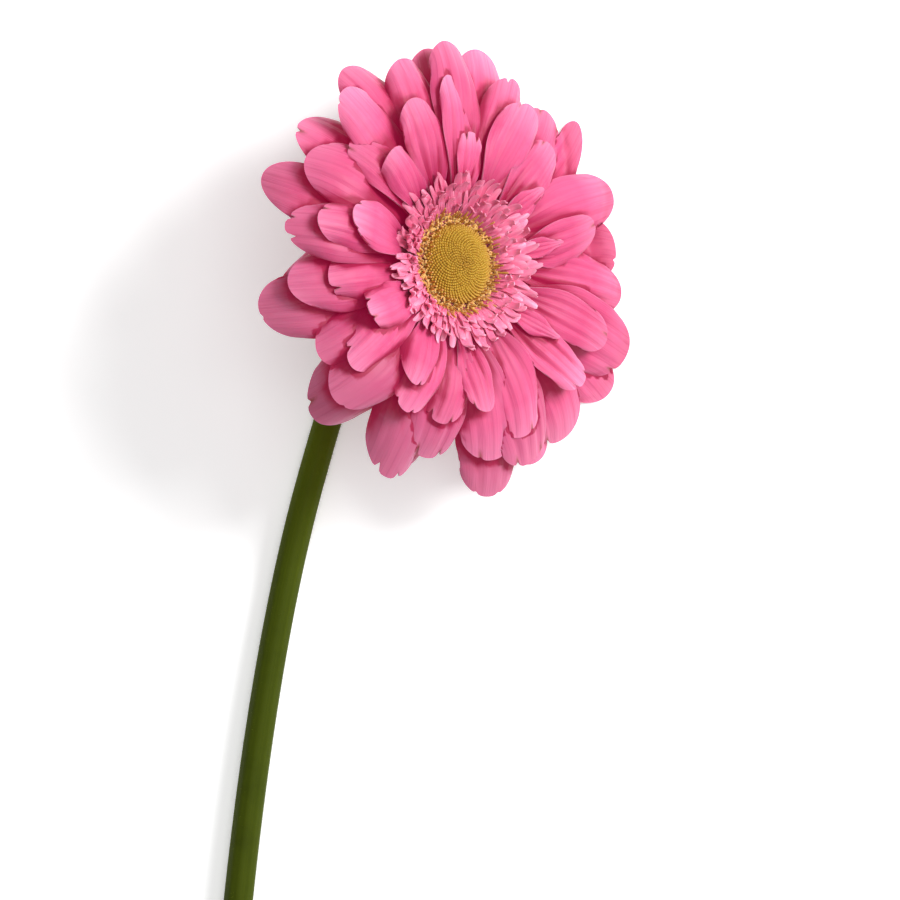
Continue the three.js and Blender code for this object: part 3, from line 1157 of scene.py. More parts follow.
    def tint(self, petal: bpy.types.Object, floret: Floret, along: np.ndarray, mark: np.ndarray) -> None:
        """Gives a petal the numbers that its finish reads.

        Args:
            petal: The petal.
            floret: Its place and size.
            along: The place of each point along it, from 0 to 1.
            mark: How brown each point's nick is.
        """
        everywhere, facing = self.painted_shade_shares
        painted_shade = everywhere + facing * floret.facing(self.painted_shade)
        behind = float(ease(floret.length, self.lit_length, self.dark_length - self.lit_length))
        below, above = self.gloom
        set_attribute(petal, "tone", 0.5 + 0.5 * floret.own(18))
        set_attribute(petal, "mark", mark)
        # Darker claws, darker still on one side of the head as painted shade
        set_attribute(petal, "claw_and_painted_shade", painted_shade * (1 - ease(along, 0.0, self.painted_shade_reach)))
        # Painted shade on the longer petals of one side
        set_attribute(petal, "shade", self.shading * behind * floret.facing(self.shaded_side))
        # The painted shade where petals hide the sky is stronger on two sides of the head
        petal["gloom"] = 1 + below * floret.facing(self.gloomy_side) + above * floret.facing(self.painted_shade)

    def shape(self, blank: bpy.types.Object, whorl_floret: Floret) -> bpy.types.Object:
        """Copies the flat blank and bends it into one petal.

        Args:
            blank: The flat sheet.
            whorl_floret: The petal's place and size, before the head's lean makes it droop.

        Returns:
            The petal, still without thickness.
        """
        droop = math.radians(self.droop) * (1 - whorl_floret.low_side) / 2
        floret = replace(whorl_floret, tip_lift=whorl_floret.tip_lift - droop)
        petal = copy_of(blank)
        place, along = sheet_place(blank)
        reach, mark = self.tip(floret, place, along)
        half = self.half_width(floret, along) * floret.width / 2
        roll = math.radians(self.shingle) + math.radians(self.twist * floret.own(16)) * along
        curl = floret.between(*self.curl) * floret.length + self.curl_varies * floret.own(17)
        placed = floret.points(
            reach,
            np.sin(place * math.pi / 2) * half,
            self.relief(floret, place, along),
            roll,
            math.radians(curl),
            self.curl_from,
        )
        set_points(petal, HEAD.lay(placed))
        self.tint(petal, floret, along, mark)
        return petal

    def set_painted_occlusion(self, petals: Sequence[bpy.types.Object]) -> None:
        """Gives each point of the petals the share of its sky that other petals hide, as depth, which their
        finish paints as shade and glow.

        Args:
            petals: All the petals, still without thickness.
        """
        shape = (self.grid[1] + 1, self.grid[0] + 1)
        grids = [points_of(petal).reshape(*shape, 3) for petal in petals]
        quads = np.array([list(face.vertices) for face in petals[0].data.polygons])
        size = shape[0] * shape[1]
        faces = np.concatenate([quads + number * size for number in range(len(petals))])
        tree = BVHTree.FromPolygons(np.concatenate(grids).reshape(-1, 3).tolist(), faces.tolist())
        numbers = np.arange(self.sky_rays)
        radius = np.sqrt((numbers + 0.5) / self.sky_rays)
        turn = numbers * GOLDEN_TURN
        sky = np.stack([radius * np.cos(turn), radius * np.sin(turn), np.sqrt(1 - radius**2)], axis=1)
        axis = np.array(HEAD.turn() @ Vector((0, 0, 1)))
        across_sky = (0.31, 0.95, 0.05)
        reach = self.sky_reach * MM
        rows, columns = np.arange(0, shape[0], 2), np.arange(0, shape[1], 2)
        for petal, grid in zip(petals, grids):
            normal = np.cross(np.gradient(grid, axis=1), np.gradient(grid, axis=0))
            normal /= np.linalg.norm(normal, axis=2, keepdims=True) + 1e-12
            normal *= np.sign((normal @ axis).sum())
            hidden = np.zeros((len(rows), len(columns)))
            for i, row in enumerate(rows):
                for j, column in enumerate(columns):
                    up = normal[row, column]
                    side = np.cross(up, across_sky)
                    side /= np.linalg.norm(side)
                    rays = sky @ np.stack([side, np.cross(up, side), up])
                    start = Vector(grid[row, column] + up * self.thickness * MM)
                    for ray in rays.tolist():
                        distance = tree.ray_cast(start, ray, reach)[3]
                        hidden[i, j] += 0 if distance is None else 1 - distance / reach
            spread = np.stack([np.interp(np.arange(shape[1]), columns, line) for line in hidden])
            depth = np.stack([np.interp(np.arange(shape[0]), rows, line) for line in spread.T], axis=1)
            set_attribute(petal, "depth", depth.ravel() / self.sky_rays * petal["gloom"])

    def build(self) -> None:
        """Builds one piece for each whorl."""
        finishes = [self.back.material(), self.face.material()]
        rings = [bend_all(whorl, self.varies, self.grid, self.shape) for whorl in self.whorls]
        self.set_painted_occlusion([petal for petals in rings for petal in petals])
        for whorl, petals in zip(self.whorls, rings):
            common = (self.thickness, self.smooth_angle, finishes, "ray_petals", "ray_florets")
            finish_whorl(whorl.name, petals, *common)


@dataclass(frozen=True)
class TransFlorets:
    """The frill of short straps between the petals and the disc."""

    whorls: tuple[Whorl, ...] = whorl_rows(
        "name count root level length width root_lift tip_lift salt high_lift",
        ("frill_outer", 58, 13.0, 0.5, 10.6, 1.75, 48, 8, 11, -3),
        ("frill_middle", 62, 12.6, 0.5, 9.2, 1.6, 56, 18, 13, -4),
        ("frill_inner", 58, 12.1, 0.5, 7.4, 1.5, 63, 28, 12, -6),
        ("frill_lips", 52, 11.7, 0.5, 5.4, 1.3, 70, 36, 15, -8),
    )
    varies: Variation = Variation(length=0.16, width=0.2, turn=0.3, lift=5, swerve=9)
    grid: tuple[int, int] = (6, 14)
    thickness: float = 0.3
    smooth_angle: float = 60
    cleft: tuple[float, float] = (0.02, 0.05)
    cleft_reach: float = 0.25
    tip_reach: float = 0.12
    foot_width: float = 0.62
    tip_narrowing: float = 0.25
    fold: float = 0.4
    spread: float = 0.75
    twist: float = 26.0
    curl: tuple[float, float] = (18.0, 70.0)
    curl_from: float = 0.6
    # The side of the head whose straps get painted shade, and how strong it is
    painted_shade: float = 105.0
    frill_painted_shade: float = 1.8
    face: StrapFinish = StrapFinish(
        "frill_face",
        foot=srgb(180, 84, 84),
        middle=srgb(238, 116, 154),
        lip=srgb(252, 166, 196),
        shade=srgb(190, 72, 108),
    )

    def shape(self, blank: bpy.types.Object, floret: Floret) -> bpy.types.Object:
        """Copies the flat blank and bends it into one strap with a cleft, curling end."""
        strap = copy_of(blank)
        place, along = sheet_place(blank)
        across = np.sin(place * math.pi / 2)
        side = np.abs(across)
        cleft = max(0.0, self.cleft[0] + self.cleft[1] * floret.own(11))
        lost = cleft * np.exp(-((across / self.cleft_reach) ** 2)) + self.tip_reach * round_end(across)
        reach = along * (1 - lost * along**4)
        half = self.foot_width + (1 - self.foot_width) * ease(along, 0.0, 0.5)
        half = half * (1 - self.tip_narrowing * ease(along, 0.7, 0.3))
        rise = self.fold * side**1.5 - self.spread * side**2 * ease(along, 0.45, 0.4)
        twist = math.radians(self.twist * floret.own(12)) * along
        curl = math.radians(self.curl[0] + self.curl[1] * floret.own(13))
        aside = across * half * floret.width / 2
        set_points(strap, floret.points(reach, aside, rise, twist, curl, self.curl_from))
        # Tone differs at random, and on one side of the head it grows as painted shade
        set_attribute(strap, "tone", 0.4 + 0.4 * floret.own(14) + self.frill_painted_shade * floret.facing(self.painted_shade))
        return strap

    def build(self) -> None:
        """Builds one piece for each whorl."""
        finishes = [self.face.material()]
        for whorl in self.whorls:
            straps = bend_all(whorl, self.varies, self.grid, self.shape)
            common = (self.thickness, self.smooth_angle, finishes, "trans_petals", "trans_florets")
            finish_whorl(whorl.name, straps, *common)


@dataclass(frozen=True)
class DiscFlorets:
    """The dome of closed buds, and the ring of opening florets with their anthers at its rim."""

    radius: float = 9.8
    rise: float = 4.6
    rim_drop: float = 0.86
    hollow: float = 0.4
    seat: float = -1.7
    skin_depth: float = 0.2
    rings: int = 14
    sides: int = 48
    # The buds
    buds: int = 760
    bud_reach: float = 9.6
    bud_lean: float = 0.75
    bud_size: tuple[float, float, float] = (0.64, 0.06, 0.04)
    bud_scale: float = 1.12
    bud_spin: float = 0.7
    bud_height: tuple[float, float] = (-0.1, 0.12)
    bud_narrowing: float = 0.35
    bud_lobing: float = 0.12
    bud_stretch: float = 1.5
    bud_lift: float = 0.1
    # The opening florets: how many, and at which radius, lean and least draw that gives an anther
    opening: tuple[tuple[int, float, float, float], ...] = (
        (38, 9.5, 0.2, -0.75),
        (42, 10.4, 0.4, -0.5),
        (44, 11.3, 0.6, -0.2),
        (40, 12.2, 0.75, 0.1),
    )
    outer_rise: float = 0.45
    sinking: float = 1.0
    scatter: float = 0.3
    spot_scatter: float = 0.4
    spin_share: float = 0.35
    floret_size: tuple[float, float] = (0.95, 0.18)
    # Each lip of an opening floret: its turn, length, width and bend
    lips: tuple[tuple[float, float, float, float], ...] = (
        (0.0, 3.0, 1.15, 2.3),
        (2.3, 2.3, 0.8, 3.0),
        (-2.3, 2.3, 0.8, 3.0),
    )
    lip_root: float = 0.35
    lip_lift: float = 86.0
    lip_narrowing: float = 0.6
    lip_thickness: float = 0.22
    anther_radius: float = 0.34
    anther_length: float = 3.9
    anther_scale: float = 0.82
    anther_waist: float = 0.35
    anther_flare: float = 0.15
    anther_tip: float = 0.6
    anther_lean: float = 0.8
    bud_finish: BudFinish = BudFinish(
        "disc_buds",
        heart=srgb(172, 126, 40),
        field=srgb(192, 152, 50),
        rim=srgb(196, 146, 60),
        tip=srgb(204, 168, 70),
        gap_shade=srgb(176, 136, 40),
    )
    dome_finish: BudFinish = BudFinish(
        "dome_skin",
        heart=srgb(160, 116, 36),
        field=srgb(170, 124, 42),
        rim=srgb(170, 118, 50),
        tip=srgb(180, 130, 50),
        gap_shade=srgb(130, 92, 28),
    )
    corolla_finish: StrapFinish = StrapFinish(
        "opening_lips",
        foot=srgb(200, 152, 64),
        middle=srgb(222, 174, 88),
        lip=srgb(255, 212, 184),
        shade=srgb(206, 138, 80),
        foot_reach=0.4,
    )
    anther_finish: BudFinish = BudFinish(
        "anthers",
        heart=srgb(182, 124, 50),
        field=srgb(198, 142, 62),
        rim=srgb(198, 142, 62),
        tip=srgb(222, 178, 112),
        gap_shade=srgb(168, 110, 50),
    )

    def dome(self, radius: np.ndarray | float) -> np.ndarray:
        """Gives the height of the dome at a radius."""
        share = np.asarray(radius) / self.radius
        drop = np.sqrt(np.maximum(1 - self.rim_drop * share**2, 0))
        return self.rise * drop - self.hollow * (1 - share)

    def stand(
        self,
        radius: float,
        turn: float,
        lean: float,
        size: float,
        spin: float,
        height: float,
    ) -> Matrix:
        """Gives the place of one small floret on the dome.

        Args:
            radius: Distance from the axis, in millimetres.
            turn: Angle round the axis.
            lean: Angle outwards from the axis.
            size: Scale, in metres for each unit of the pattern.
            spin: Angle round the floret's own middle.
            height: Height over the head's origin, in millimetres.

        Returns:
            The matrix from the pattern to the row's frame.
        """
        spot = Vector((radius * math.cos(turn), radius * math.sin(turn), height))
        upright = Matrix.Rotation(turn, 4, "Z") @ Matrix.Rotation(lean, 4, "Y")
        upright = upright @ Matrix.Rotation(spin, 4, "Z")
        head = Matrix.Translation(HEAD.origin() * MM) @ HEAD.turn().to_4x4()
        return head @ Matrix.Translation(spot * MM) @ upright @ Matrix.Scale(size, 4)

    def bud_pattern(self) -> bpy.types.Object:
        """Models one closed bud, a unit wide: a blunt drop with a pinched top."""
        deselect_all()
        bpy.ops.mesh.primitive_uv_sphere_add(segments=8, ring_count=6, radius=0.5)
        bud = bpy.context.object
        points = points_of(bud)
        height = (points[:, 2] + 0.5).clip(0, 1)
        narrow = 1 - self.bud_narrowing * height**3
        lobes = 1 + self.bud_lobing * height * np.cos(4 * np.arctan2(points[:, 1], points[:, 0]))
        points[:, 0] *= narrow * lobes
        points[:, 1] *= narrow * lobes
        points[:, 2] = points[:, 2] * self.bud_stretch + self.bud_lift
        set_points(bud, points)
        set_attribute(bud, "height", height)
        return bud

    def build_buds(self) -> None:
        """Sets the closed buds on the dome in a sunflower's spiral."""
        pattern = self.bud_pattern()
        buds = []
        spacing = self.bud_reach / math.sqrt(self.buds)
        inner, outwards, varies = self.bud_size
        level, level_varies = self.bud_height
        for number in range(self.buds):
            radius = spacing * math.sqrt(number + 0.5)
            share = radius / self.bud_reach
            size = (inner + outwards * share + varies * draw(number, 51)) * MM * self.bud_scale
            height = float(self.dome(radius)) + level + level_varies * draw(number, 52)
            lean = self.bud_lean * share**2
            bud = copy_of(pattern)
            turn, spin = number * GOLDEN_TURN, number * self.bud_spin
            bud.data.transform(self.stand(radius, turn, lean, size, spin, height))
            set_attribute(bud, "reach", share)
            set_attribute(bud, "tone", 0.5 + 0.5 * draw(number, 53))
            buds.append(bud)
        remove(pattern)
        piece = join("disc_buds", buds)
        shade(piece, Shading.SMOOTH)
        settle(piece, [self.bud_finish.material()], "disc_buds", "disc_florets")

    def build_dome(self) -> None:
        """Turns the dome under the buds."""
        radii = [self.radius * step / self.rings for step in range(self.rings + 1)]
        skin = [(radius, float(self.dome(radius)) - self.skin_depth) for radius in radii]
        piece = turned("disc_dome", [*skin, (self.radius, self.seat), (0.0, self.seat)], self.sides)
        away = np.linalg.norm(points_of(piece) - np.array(HEAD.origin()) * MM, axis=1)
        set_attribute(piece, "reach", np.clip(away / (self.radius * MM), 0, 1))
        set_attribute(piece, "height", 0.2)
        set_attribute(piece, "tone", 0.3)
        shade(piece, Shading.BY_ANGLE)
        settle(piece, [self.dome_finish.material()], "disc_buds", "disc_florets")

    def lips_pattern(self) -> bpy.types.Object:
        """Models the curled lips of one opening floret, in millimetres."""
        blank = sheet("lip_blank", 4, 8)
        across, along = sheet_place(blank)
        lips = []
        for turn, length, width, bend in self.lips:
            lip = copy_of(blank)
            angle = math.radians(self.lip_lift) - bend * along**1.6
            x = self.lip_root + length * np.sin(np.minimum(bend * along, 2.6)) * 0.3 * along
            z = along * length * 0.55 + length * 0.35 * np.sin(angle) * along
            half = width / 2 * (0.6 + 0.4 * along) * (1 - self.lip_narrowing * ease(along, 0.7, 0.3))
            y = across * half
            turned_x = x * math.cos(turn) - y * math.sin(turn)
            turned_y = x * math.sin(turn) + y * math.cos(turn)
            set_points(lip, np.stack([turned_x, turned_y, z], axis=1))
            lips.append(lip)
        remove(blank)
        pattern = join("lips_pattern", lips)
        apply_modifier(pattern, "SOLIDIFY", thickness=self.lip_thickness, offset=0.0)
        return pattern

    def anther_pattern(self) -> bpy.types.Object:
        """Models one tube of anthers, in millimetres, with a waist and a tapered tip."""
        deselect_all()
        bpy.ops.mesh.primitive_cylinder_add(
            vertices=7,
            radius=self.anther_radius,
            depth=1,
            end_fill_type="TRIFAN",
        )
        tube = bpy.context.object
        apply_modifier(tube, "SUBSURF", subdivision_type="SIMPLE", levels=2, render_levels=2)
        points = points_of(tube)
        share = points[:, 2] + 0.5
        waist = 1 - self.anther_waist * np.sin(share * math.pi) + self.anther_flare * share
        waist = waist * np.where(share > 0.99, self.anther_tip, 1)
        points[:, 0] *= waist
        points[:, 1] *= waist
        points[:, 2] = share * self.anther_length
        set_points(tube, points)
        set_attribute(tube, "height", share)
        return tube

    def build_opening(self) -> None:
        """Sets rings of opening florets round the dome."""
        lips, anther = self.lips_pattern(), self.anther_pattern()
        corollas, tubes = [], []
        mean_size, size_varies = self.floret_size
        for ring, (count, radius, lean, bare) in enumerate(self.opening):
            salt = 60 + ring * 10
            for index in range(count):
                own = [draw(index, salt + number) for number in range(9)]
                turn = (index + 0.5 * ring + self.scatter * own[0]) * FULL_TURN / count
                spot = radius + self.spot_scatter * own[1]
                tilt = lean + self.scatter * own[2]
                spin = math.pi * own[3] * self.spin_share
                level = float(self.dome(min(spot, self.radius))) - self.sinking + self.scatter * own[4]
                level += self.outer_rise * max(0.0, spot - self.radius)
                size = (mean_size + size_varies * own[5]) * MM
                corolla = copy_of(lips)
                corolla.data.transform(self.stand(spot, turn, tilt, size, spin, level))
                set_attribute(corolla, "tone", 0.5 + 0.5 * own[6])
                corollas.append(corolla)
                if own[7] > bare:
                    tube = copy_of(anther)
                    tube_tilt, tube_size = tilt * self.anther_lean, size * self.anther_scale
                    tube.data.transform(self.stand(spot, turn, tube_tilt, tube_size, spin, level))
                    set_attribute(tube, "tone", 0.5 + 0.5 * own[8])
                    set_attribute(tube, "reach", 0.8)
                    tubes.append(tube)
        remove(lips)
        remove(anther)
        for name, made, finish in (
            ("opening_florets", corollas, self.corolla_finish.material()),
            ("anther_tubes", tubes, self.anther_finish.material()),
        ):
            piece = join(name, made)
            shade(piece, Shading.BY_ANGLE, 60)
            settle(piece, [finish], "disc_buds", "disc_florets")

    def build(self) -> None:
        """Builds the disc's pieces."""
        self.build_dome()
        self.build_buds()
        self.build_opening()


def turned(name: str, profile: Sequence[tuple[float, float]], sides: int) -> bpy.types.Object:
    """Turns a profile round the head's axis.

    Args:
        name: The object's name.
        profile: Radius and height of each point, in millimetres, in order round a closed section.
        sides: How many sides the turned shape has.

    Returns:
        The closed shape, in the row's frame.
    """
    made = sheet(name, sides, len(profile) - 1)
    across, along = sheet_place(made)
    turn = (across + 1) * math.pi
    numbers = np.arange(len(profile))
    place = along * (len(profile) - 1)
    radius = np.interp(place, numbers, [point[0] for point in profile])
    height = np.interp(place, numbers, [point[1] for point in profile])
    set_points(made, HEAD.place(np.stack([radius * np.cos(turn), radius * np.sin(turn), height], axis=1)))
    close_seams(made)
    return made


@dataclass(frozen=True)
class Involucre:
    """The green cup under the head, its rows of pointed bracts and the receptacle on top."""

    cup_depth: float = 15.0
    # Radius of the cup's wall, and height over its foot
    wall: tuple[tuple[float, float], ...] = (
        (4.9, 0.0),
        (5.6, 0.5),
        (6.6, 1.4),
        (8.6, 2.5),
        (10.5, 3.6),
        (11.7, 4.8),
        (12.5, 6.2),
        (14.4, 8.8),
        (16.4, 11.4),
        (16.6, 12.4),
    )
    seat: float = -2.0
    # Radius and height round the section of the receptacle's ring
    ring: tuple[tuple[float, float], ...] = (
        (10.0, -1.7),
        (17.2, -1.7),
        (17.2, -0.2),
        (13.5, 0.9),
        (10.0, 1.1),
        (10.0, -1.7),
    )
    ring_sides: int = 72
    cup_sides: int = 64
    cup_angle: float = 40
    whorls: tuple[Whorl, ...] = whorl_rows(
        "name count root level length width root_lift tip_lift salt",
        ("bracts_upper", 24, 13.0, -8.6, 11.5, 3.6, 50, 6, 21),
        ("bracts_middle", 20, 11.2, -10.6, 10.2, 3.5, 46, 34, 23),
        ("bracts_lower", 16, 8.6, -12.2, 9.0, 3.3, 42, 56, 22),
    )
    varies: Variation = Variation(length=0.1, width=0.1, turn=0.2, lift=2, swerve=2)
    grid: tuple[int, int] = (6, 16)
    thickness: float = 0.45
    bract_angle: float = 60
    foot_width: float = 0.8
    tip_narrowing: float = 0.93
    fold: float = 0.55
    keel: float = 0.18
    keel_reach: float = 0.22
    curl: float = 8.0
    flush: float = 0.55
    hairs: int = 2600
    hair_length: float = 0.7
    hair_radius: float = 0.035
    finish: StalkFinish = StalkFinish(
        "bract_skin",
        skin=srgb(78, 96, 18),
        light=srgb(112, 128, 42),
        deep=srgb(54, 70, 10),
        flush=srgb(120, 62, 62),
        ribs=9.0,
    )
    ring_finish: PlainFinish = PlainFinish(
        "receptacle_skin",
        colour=srgb(186, 92, 104),
        second=srgb(160, 72, 84),
        scale=400.0,
        roughness=0.6,
    )
    down: PlainFinish = PlainFinish(
        "bract_down",
        colour=srgb(190, 196, 150),
        second=srgb(160, 168, 118),
        scale=200.0,
        roughness=0.7,
    )

    def shape(self, blank: bpy.types.Object, floret: Floret) -> bpy.types.Object:
        """Copies the flat blank and bends it into one pointed bract."""
        bract = copy_of(blank)
        across, along = sheet_place(blank)
        half = self.foot_width + (1 - self.foot_width) * ease(along, 0.0, 0.4)
        half = half * (1 - self.tip_narrowing * ease(along, 0.35, 0.65) ** 1.3)
        keel = self.keel * np.exp(-((across / self.keel_reach) ** 2)) * (1 - along)
        rise = self.fold * half * across**2 - keel
        curl = math.radians(self.curl * floret.own(11))
        set_points(bract, floret.points(along, across * half * floret.width / 2, rise, 0.0, curl))
        flush = self.flush * ease(along, 0.86, 0.14)
        set_attribute(bract, "flush", flush if floret.own(12) > 0 else flush * 0.3)
        return bract

    def build(self) -> None:
        """Builds the receptacle, the cup, the bracts and their down."""
        ring = turned("receptacle", self.ring, self.ring_sides)
        shade(ring, Shading.BY_ANGLE, self.cup_angle)
        settle(ring, [self.ring_finish.material()], "bracts", "ray_florets", "trans_florets")
        skin = self.finish.material()
        wall = [(radius, height - self.cup_depth) for radius, height in self.wall]
        profile = [(0.0, -self.cup_depth), *wall, (self.wall[-1][0], self.seat), (0.0, self.seat)]
        cup = turned("cup", profile, self.cup_sides)
        set_attribute(cup, "flush", 0.0)
        shade(cup, Shading.BY_ANGLE, self.cup_angle)
        settle(cup, [skin], "bracts", "involucre")
        hairs = self.hairs // len(self.whorls)
        found = []
        for whorl in self.whorls:
            bracts = bend_all(whorl, self.varies, self.grid, self.shape)
            common = (self.thickness, self.bract_angle, [skin], "bracts", "involucre")
            piece = finish_whorl(whorl.name, bracts, *common)
            found.append(down_on(piece, hairs, self.hair_length * MM, whorl.salt))
        feet, tips = (np.concatenate(ends) for ends in zip(*found))
        down = spikes("bract_down", feet, tips, self.hair_radius * MM)
        settle(down, [self.down.material()], "bracts", "involucre")


def down_on(piece: bpy.types.Object, count: int, length: float, seed: int) -> tuple[np.ndarray, np.ndarray]:
    """Picks where fine hairs stand on a piece.

    Args:
        piece: The piece that carries them.
        count: How many.
        length: Their mean length, in metres.
        seed: Seed of the draws.

    Returns:
        The feet and the tips of the hairs, in metres.
    """
    scatter, lean, sunk = 0.3, 0.35, 0.05 * MM
    rng = np.random.default_rng(seed)
    faces = piece.data.polygons
    areas = np.array([face.area for face in faces])
    chosen = rng.choice(len(faces), size=count, p=areas / areas.sum())
    centres = np.array([faces[int(i)].center for i in chosen])
    normals = np.array([faces[int(i)].normal for i in chosen])
    spread = np.sqrt(areas[chosen])[:, None]
    feet = centres + rng.uniform(-scatter, scatter, (count, 3)) * spread - normals * sunk
    leans = rng.normal(0, lean, (count, 3))
    sizes = length * rng.uniform(0.6, 1.3, (count, 1))
    return feet, feet + (normals + leans) * sizes


@dataclass(frozen=True)
class Stem:
    """The bare stalk: its neck bends down from the cup, and it lies along the surface to its cut end."""

    neck_radius: float = 3.35
    end_radius: float = 3.9
    swelling: float = 1.1
    swelling_share: float = 0.06
    # The centre line, in millimetres from under the middle of the head
    neck_reach: float = 20.0
    cup_depth: float = 15.3
    touchdown: tuple[float, float] = (-35.5, -52.5)
    touch_handle: tuple[float, float] = (7.0, 25.0)
    run_handles: tuple[tuple[float, float], ...] = ((-55.1, -122.5), (-64.0, -250.0))
    cut_end: tuple[float, float] = (-60.0, -345.0)
    cut_slant: float = 32.0
    # The solid has twelve flat sides, and this is how far the middle of each lies from its axis
    flat_share: float = math.cos(math.pi / 12)
    neck_steps: int = 14
    run_steps: int = 26
    # The skin
    finer: int = 6
    sides: int = 60
    smooth_angle: float = 45
    ribs: int = 10
    rib_depth: float = 0.035
    rib_radius: float = 3.5
    lowest: float = 0.02
    # Share of the radius and depth of each ring of the cut face
    cut_rings: tuple[tuple[float, float], ...] = (
        (0.965, -0.06),
        (0.93, 0.04),
        (0.8, 0.1),
        (0.62, 0.02),
        (0.4, 0.12),
        (0.22, 0.9),
        (0.12, 1.6),
        (0.0, 1.8),
    )
    cut_flush: float = 0.35
    cut_reach: float = 0.35
    # Painted light that brightens the neck, which lies in the head's shadow, and where it fades out
    neck_light: float = 0.75
    neck_light_over: tuple[float, float] = (-2.0, 6.0)
    # The down
    hairs: int = 3200
    hair_seed: int = 7
    hair_radius: float = 0.03
    hair_lengths: tuple[float, float] = (0.3, 0.75)
    hair_lean: float = 0.3
    hair_spread: float = 0.36
    hair_shares: tuple[float, float] = (0.985, 1.06)
    hair_lowest: float = 0.1
    skin: StalkFinish = StalkFinish(
        "stem_skin",
        skin=srgb(60, 71, 0),
        light=srgb(72, 83, 4),
        deep=srgb(44, 54, 0),
        flush=srgb(112, 78, 40),
        ribs=30.0,
    )
    flesh: FleshFinish = FleshFinish(
        "stem_flesh",
        skin=srgb(74, 92, 22),
        flesh=srgb(176, 190, 110),
        pith=srgb(206, 212, 156),
    )
    down: PlainFinish = PlainFinish(
        "stem_down",
        colour=srgb(112, 124, 26),
        second=srgb(90, 102, 16),
        scale=200.0,
        roughness=0.7,
    )

    @property
    def last(self) -> int:
        """Gives the last station, at the cut."""
        return self.neck_steps + self.run_steps

    def route(self, station: np.ndarray) -> tuple[np.ndarray, np.ndarray]:
        """Follows the stem's two Bezier curves.

        Args:
            station: Place along the stem, in steps of the frame's own sweep.

        Returns:
            The centre line's points, in millimetres from under the middle of the head, and its directions.
        """
        turn = np.array(HEAD.turn())
        rest = self.neck_radius * self.flat_share
        top = turn @ np.array([0, 0, -self.cup_depth]) + np.array([0, 0, HEAD.height])
        down = turn @ np.array([0, 0, -1.0])
        touch, *handles, end = (
            np.array([*spot, rest]) for spot in (self.touchdown, *self.run_handles, self.cut_end)
        )
        neck = [top, top + down * self.neck_reach, touch + np.array([*self.touch_handle, 0]), touch]
        run = [touch, *handles, end]
        points, directions = [], []
        for place in station:
            in_neck = place < self.neck_steps
            a, b, c, d = neck if in_neck else run
            t = place / self.neck_steps if in_neck else (place - self.neck_steps) / self.run_steps
            s = 1 - t
            points.append(s**3 * a + 3 * s * s * t * b + 3 * s * t * t * c + t**3 * d)
            slope = 3 * s * s * (b - a) + 6 * s * t * (c - b) + 3 * t * t * (d - c)
            directions.append(slope / np.linalg.norm(slope))
        return np.array(points), np.array(directions)

    def surface(
        self,
        station: np.ndarray,
        angle: np.ndarray,
        share: np.ndarray | float,
        depth: np.ndarray | float = 0.0,
    ) -> np.ndarray:
        """Gives points of the stem's skin or of its cut face.

        Args:
            station: Place along the stem of each point.
            angle: Angle round the stem, 0 upwards.
            share: Share of the radius.
            depth: How far in from the cut, in millimetres.

        Returns:
            The points, in metres.
        """
        length_share = station / self.last
        swell = self.swelling * (1 - ease(length_share, 0.0, self.swelling_share)) ** 2
        radius = self.neck_radius + (self.end_radius - self.neck_radius) * length_share + swell
        wander = 0.6 * np.sin(length_share * 20)
        ribs = 1 + self.rib_depth / self.rib_radius * np.cos(self.ribs * angle + wander)
        centre, direction = self.route(station)
        side = np.cross(direction, np.array([0, 0, 1.0]))
        side /= np.linalg.norm(side, axis=1, keepdims=True)
        up = np.cross(side, direction)
        centre[:, 2] += (self.end_radius - self.neck_radius) * length_share * self.flat_share
        across = radius * share * ribs * np.sin(angle)
        above = radius * share * ribs * np.cos(angle)
        at_end = station >= self.last - 1e-6
        slant = np.where(at_end, -above * math.tan(math.radians(self.cut_slant)), 0) - depth
        points = centre + side * across[:, None] + up * above[:, None] + direction * slant[:, None]
        points[:, 2] = np.maximum(points[:, 2], self.lowest)
        origin = HEAD.origin()
        return (points + np.array([origin.x, origin.y, 0])) * MM

    def build_skin(self) -> None:
        """Builds the stem with its cut face, whose faces take the second finish."""
        body = [(step / self.finer, 1.0, 0.0) for step in range(self.last * self.finer + 1)]
        cut = [(float(self.last), share, depth) for share, depth in self.cut_rings]
        table = np.array([(0.0, 0.0, 0.0), *body, *cut])
        stem = sheet("stem_skin", self.sides, len(table) - 1)
        across, along = sheet_place(stem)
        row = np.rint(along * (len(table) - 1)).astype(int)
        station, share, depth = table[row].T
        set_points(stem, self.surface(station, (across + 1) * math.pi, share, depth))
        near_cut = self.cut_flush * ease(station, self.last - self.cut_reach, self.cut_reach)
        before, over = self.neck_light_over
        set_attribute(stem, "reach", share)
        set_attribute(stem, "flush", np.where(row < len(body), near_cut, 0))
        set_attribute(stem, "lit", self.neck_light * (1 - ease(station, self.neck_steps + before, over)))
        for face in stem.data.polygons:
            face.material_index = 1 if all(row[i] > len(body) for i in face.vertices) else 0
        close_seams(stem)
        shade(stem, Shading.BY_ANGLE, self.smooth_angle)
        settle(stem, [self.skin.material(), self.flesh.material()], "stem_skin", "stem")

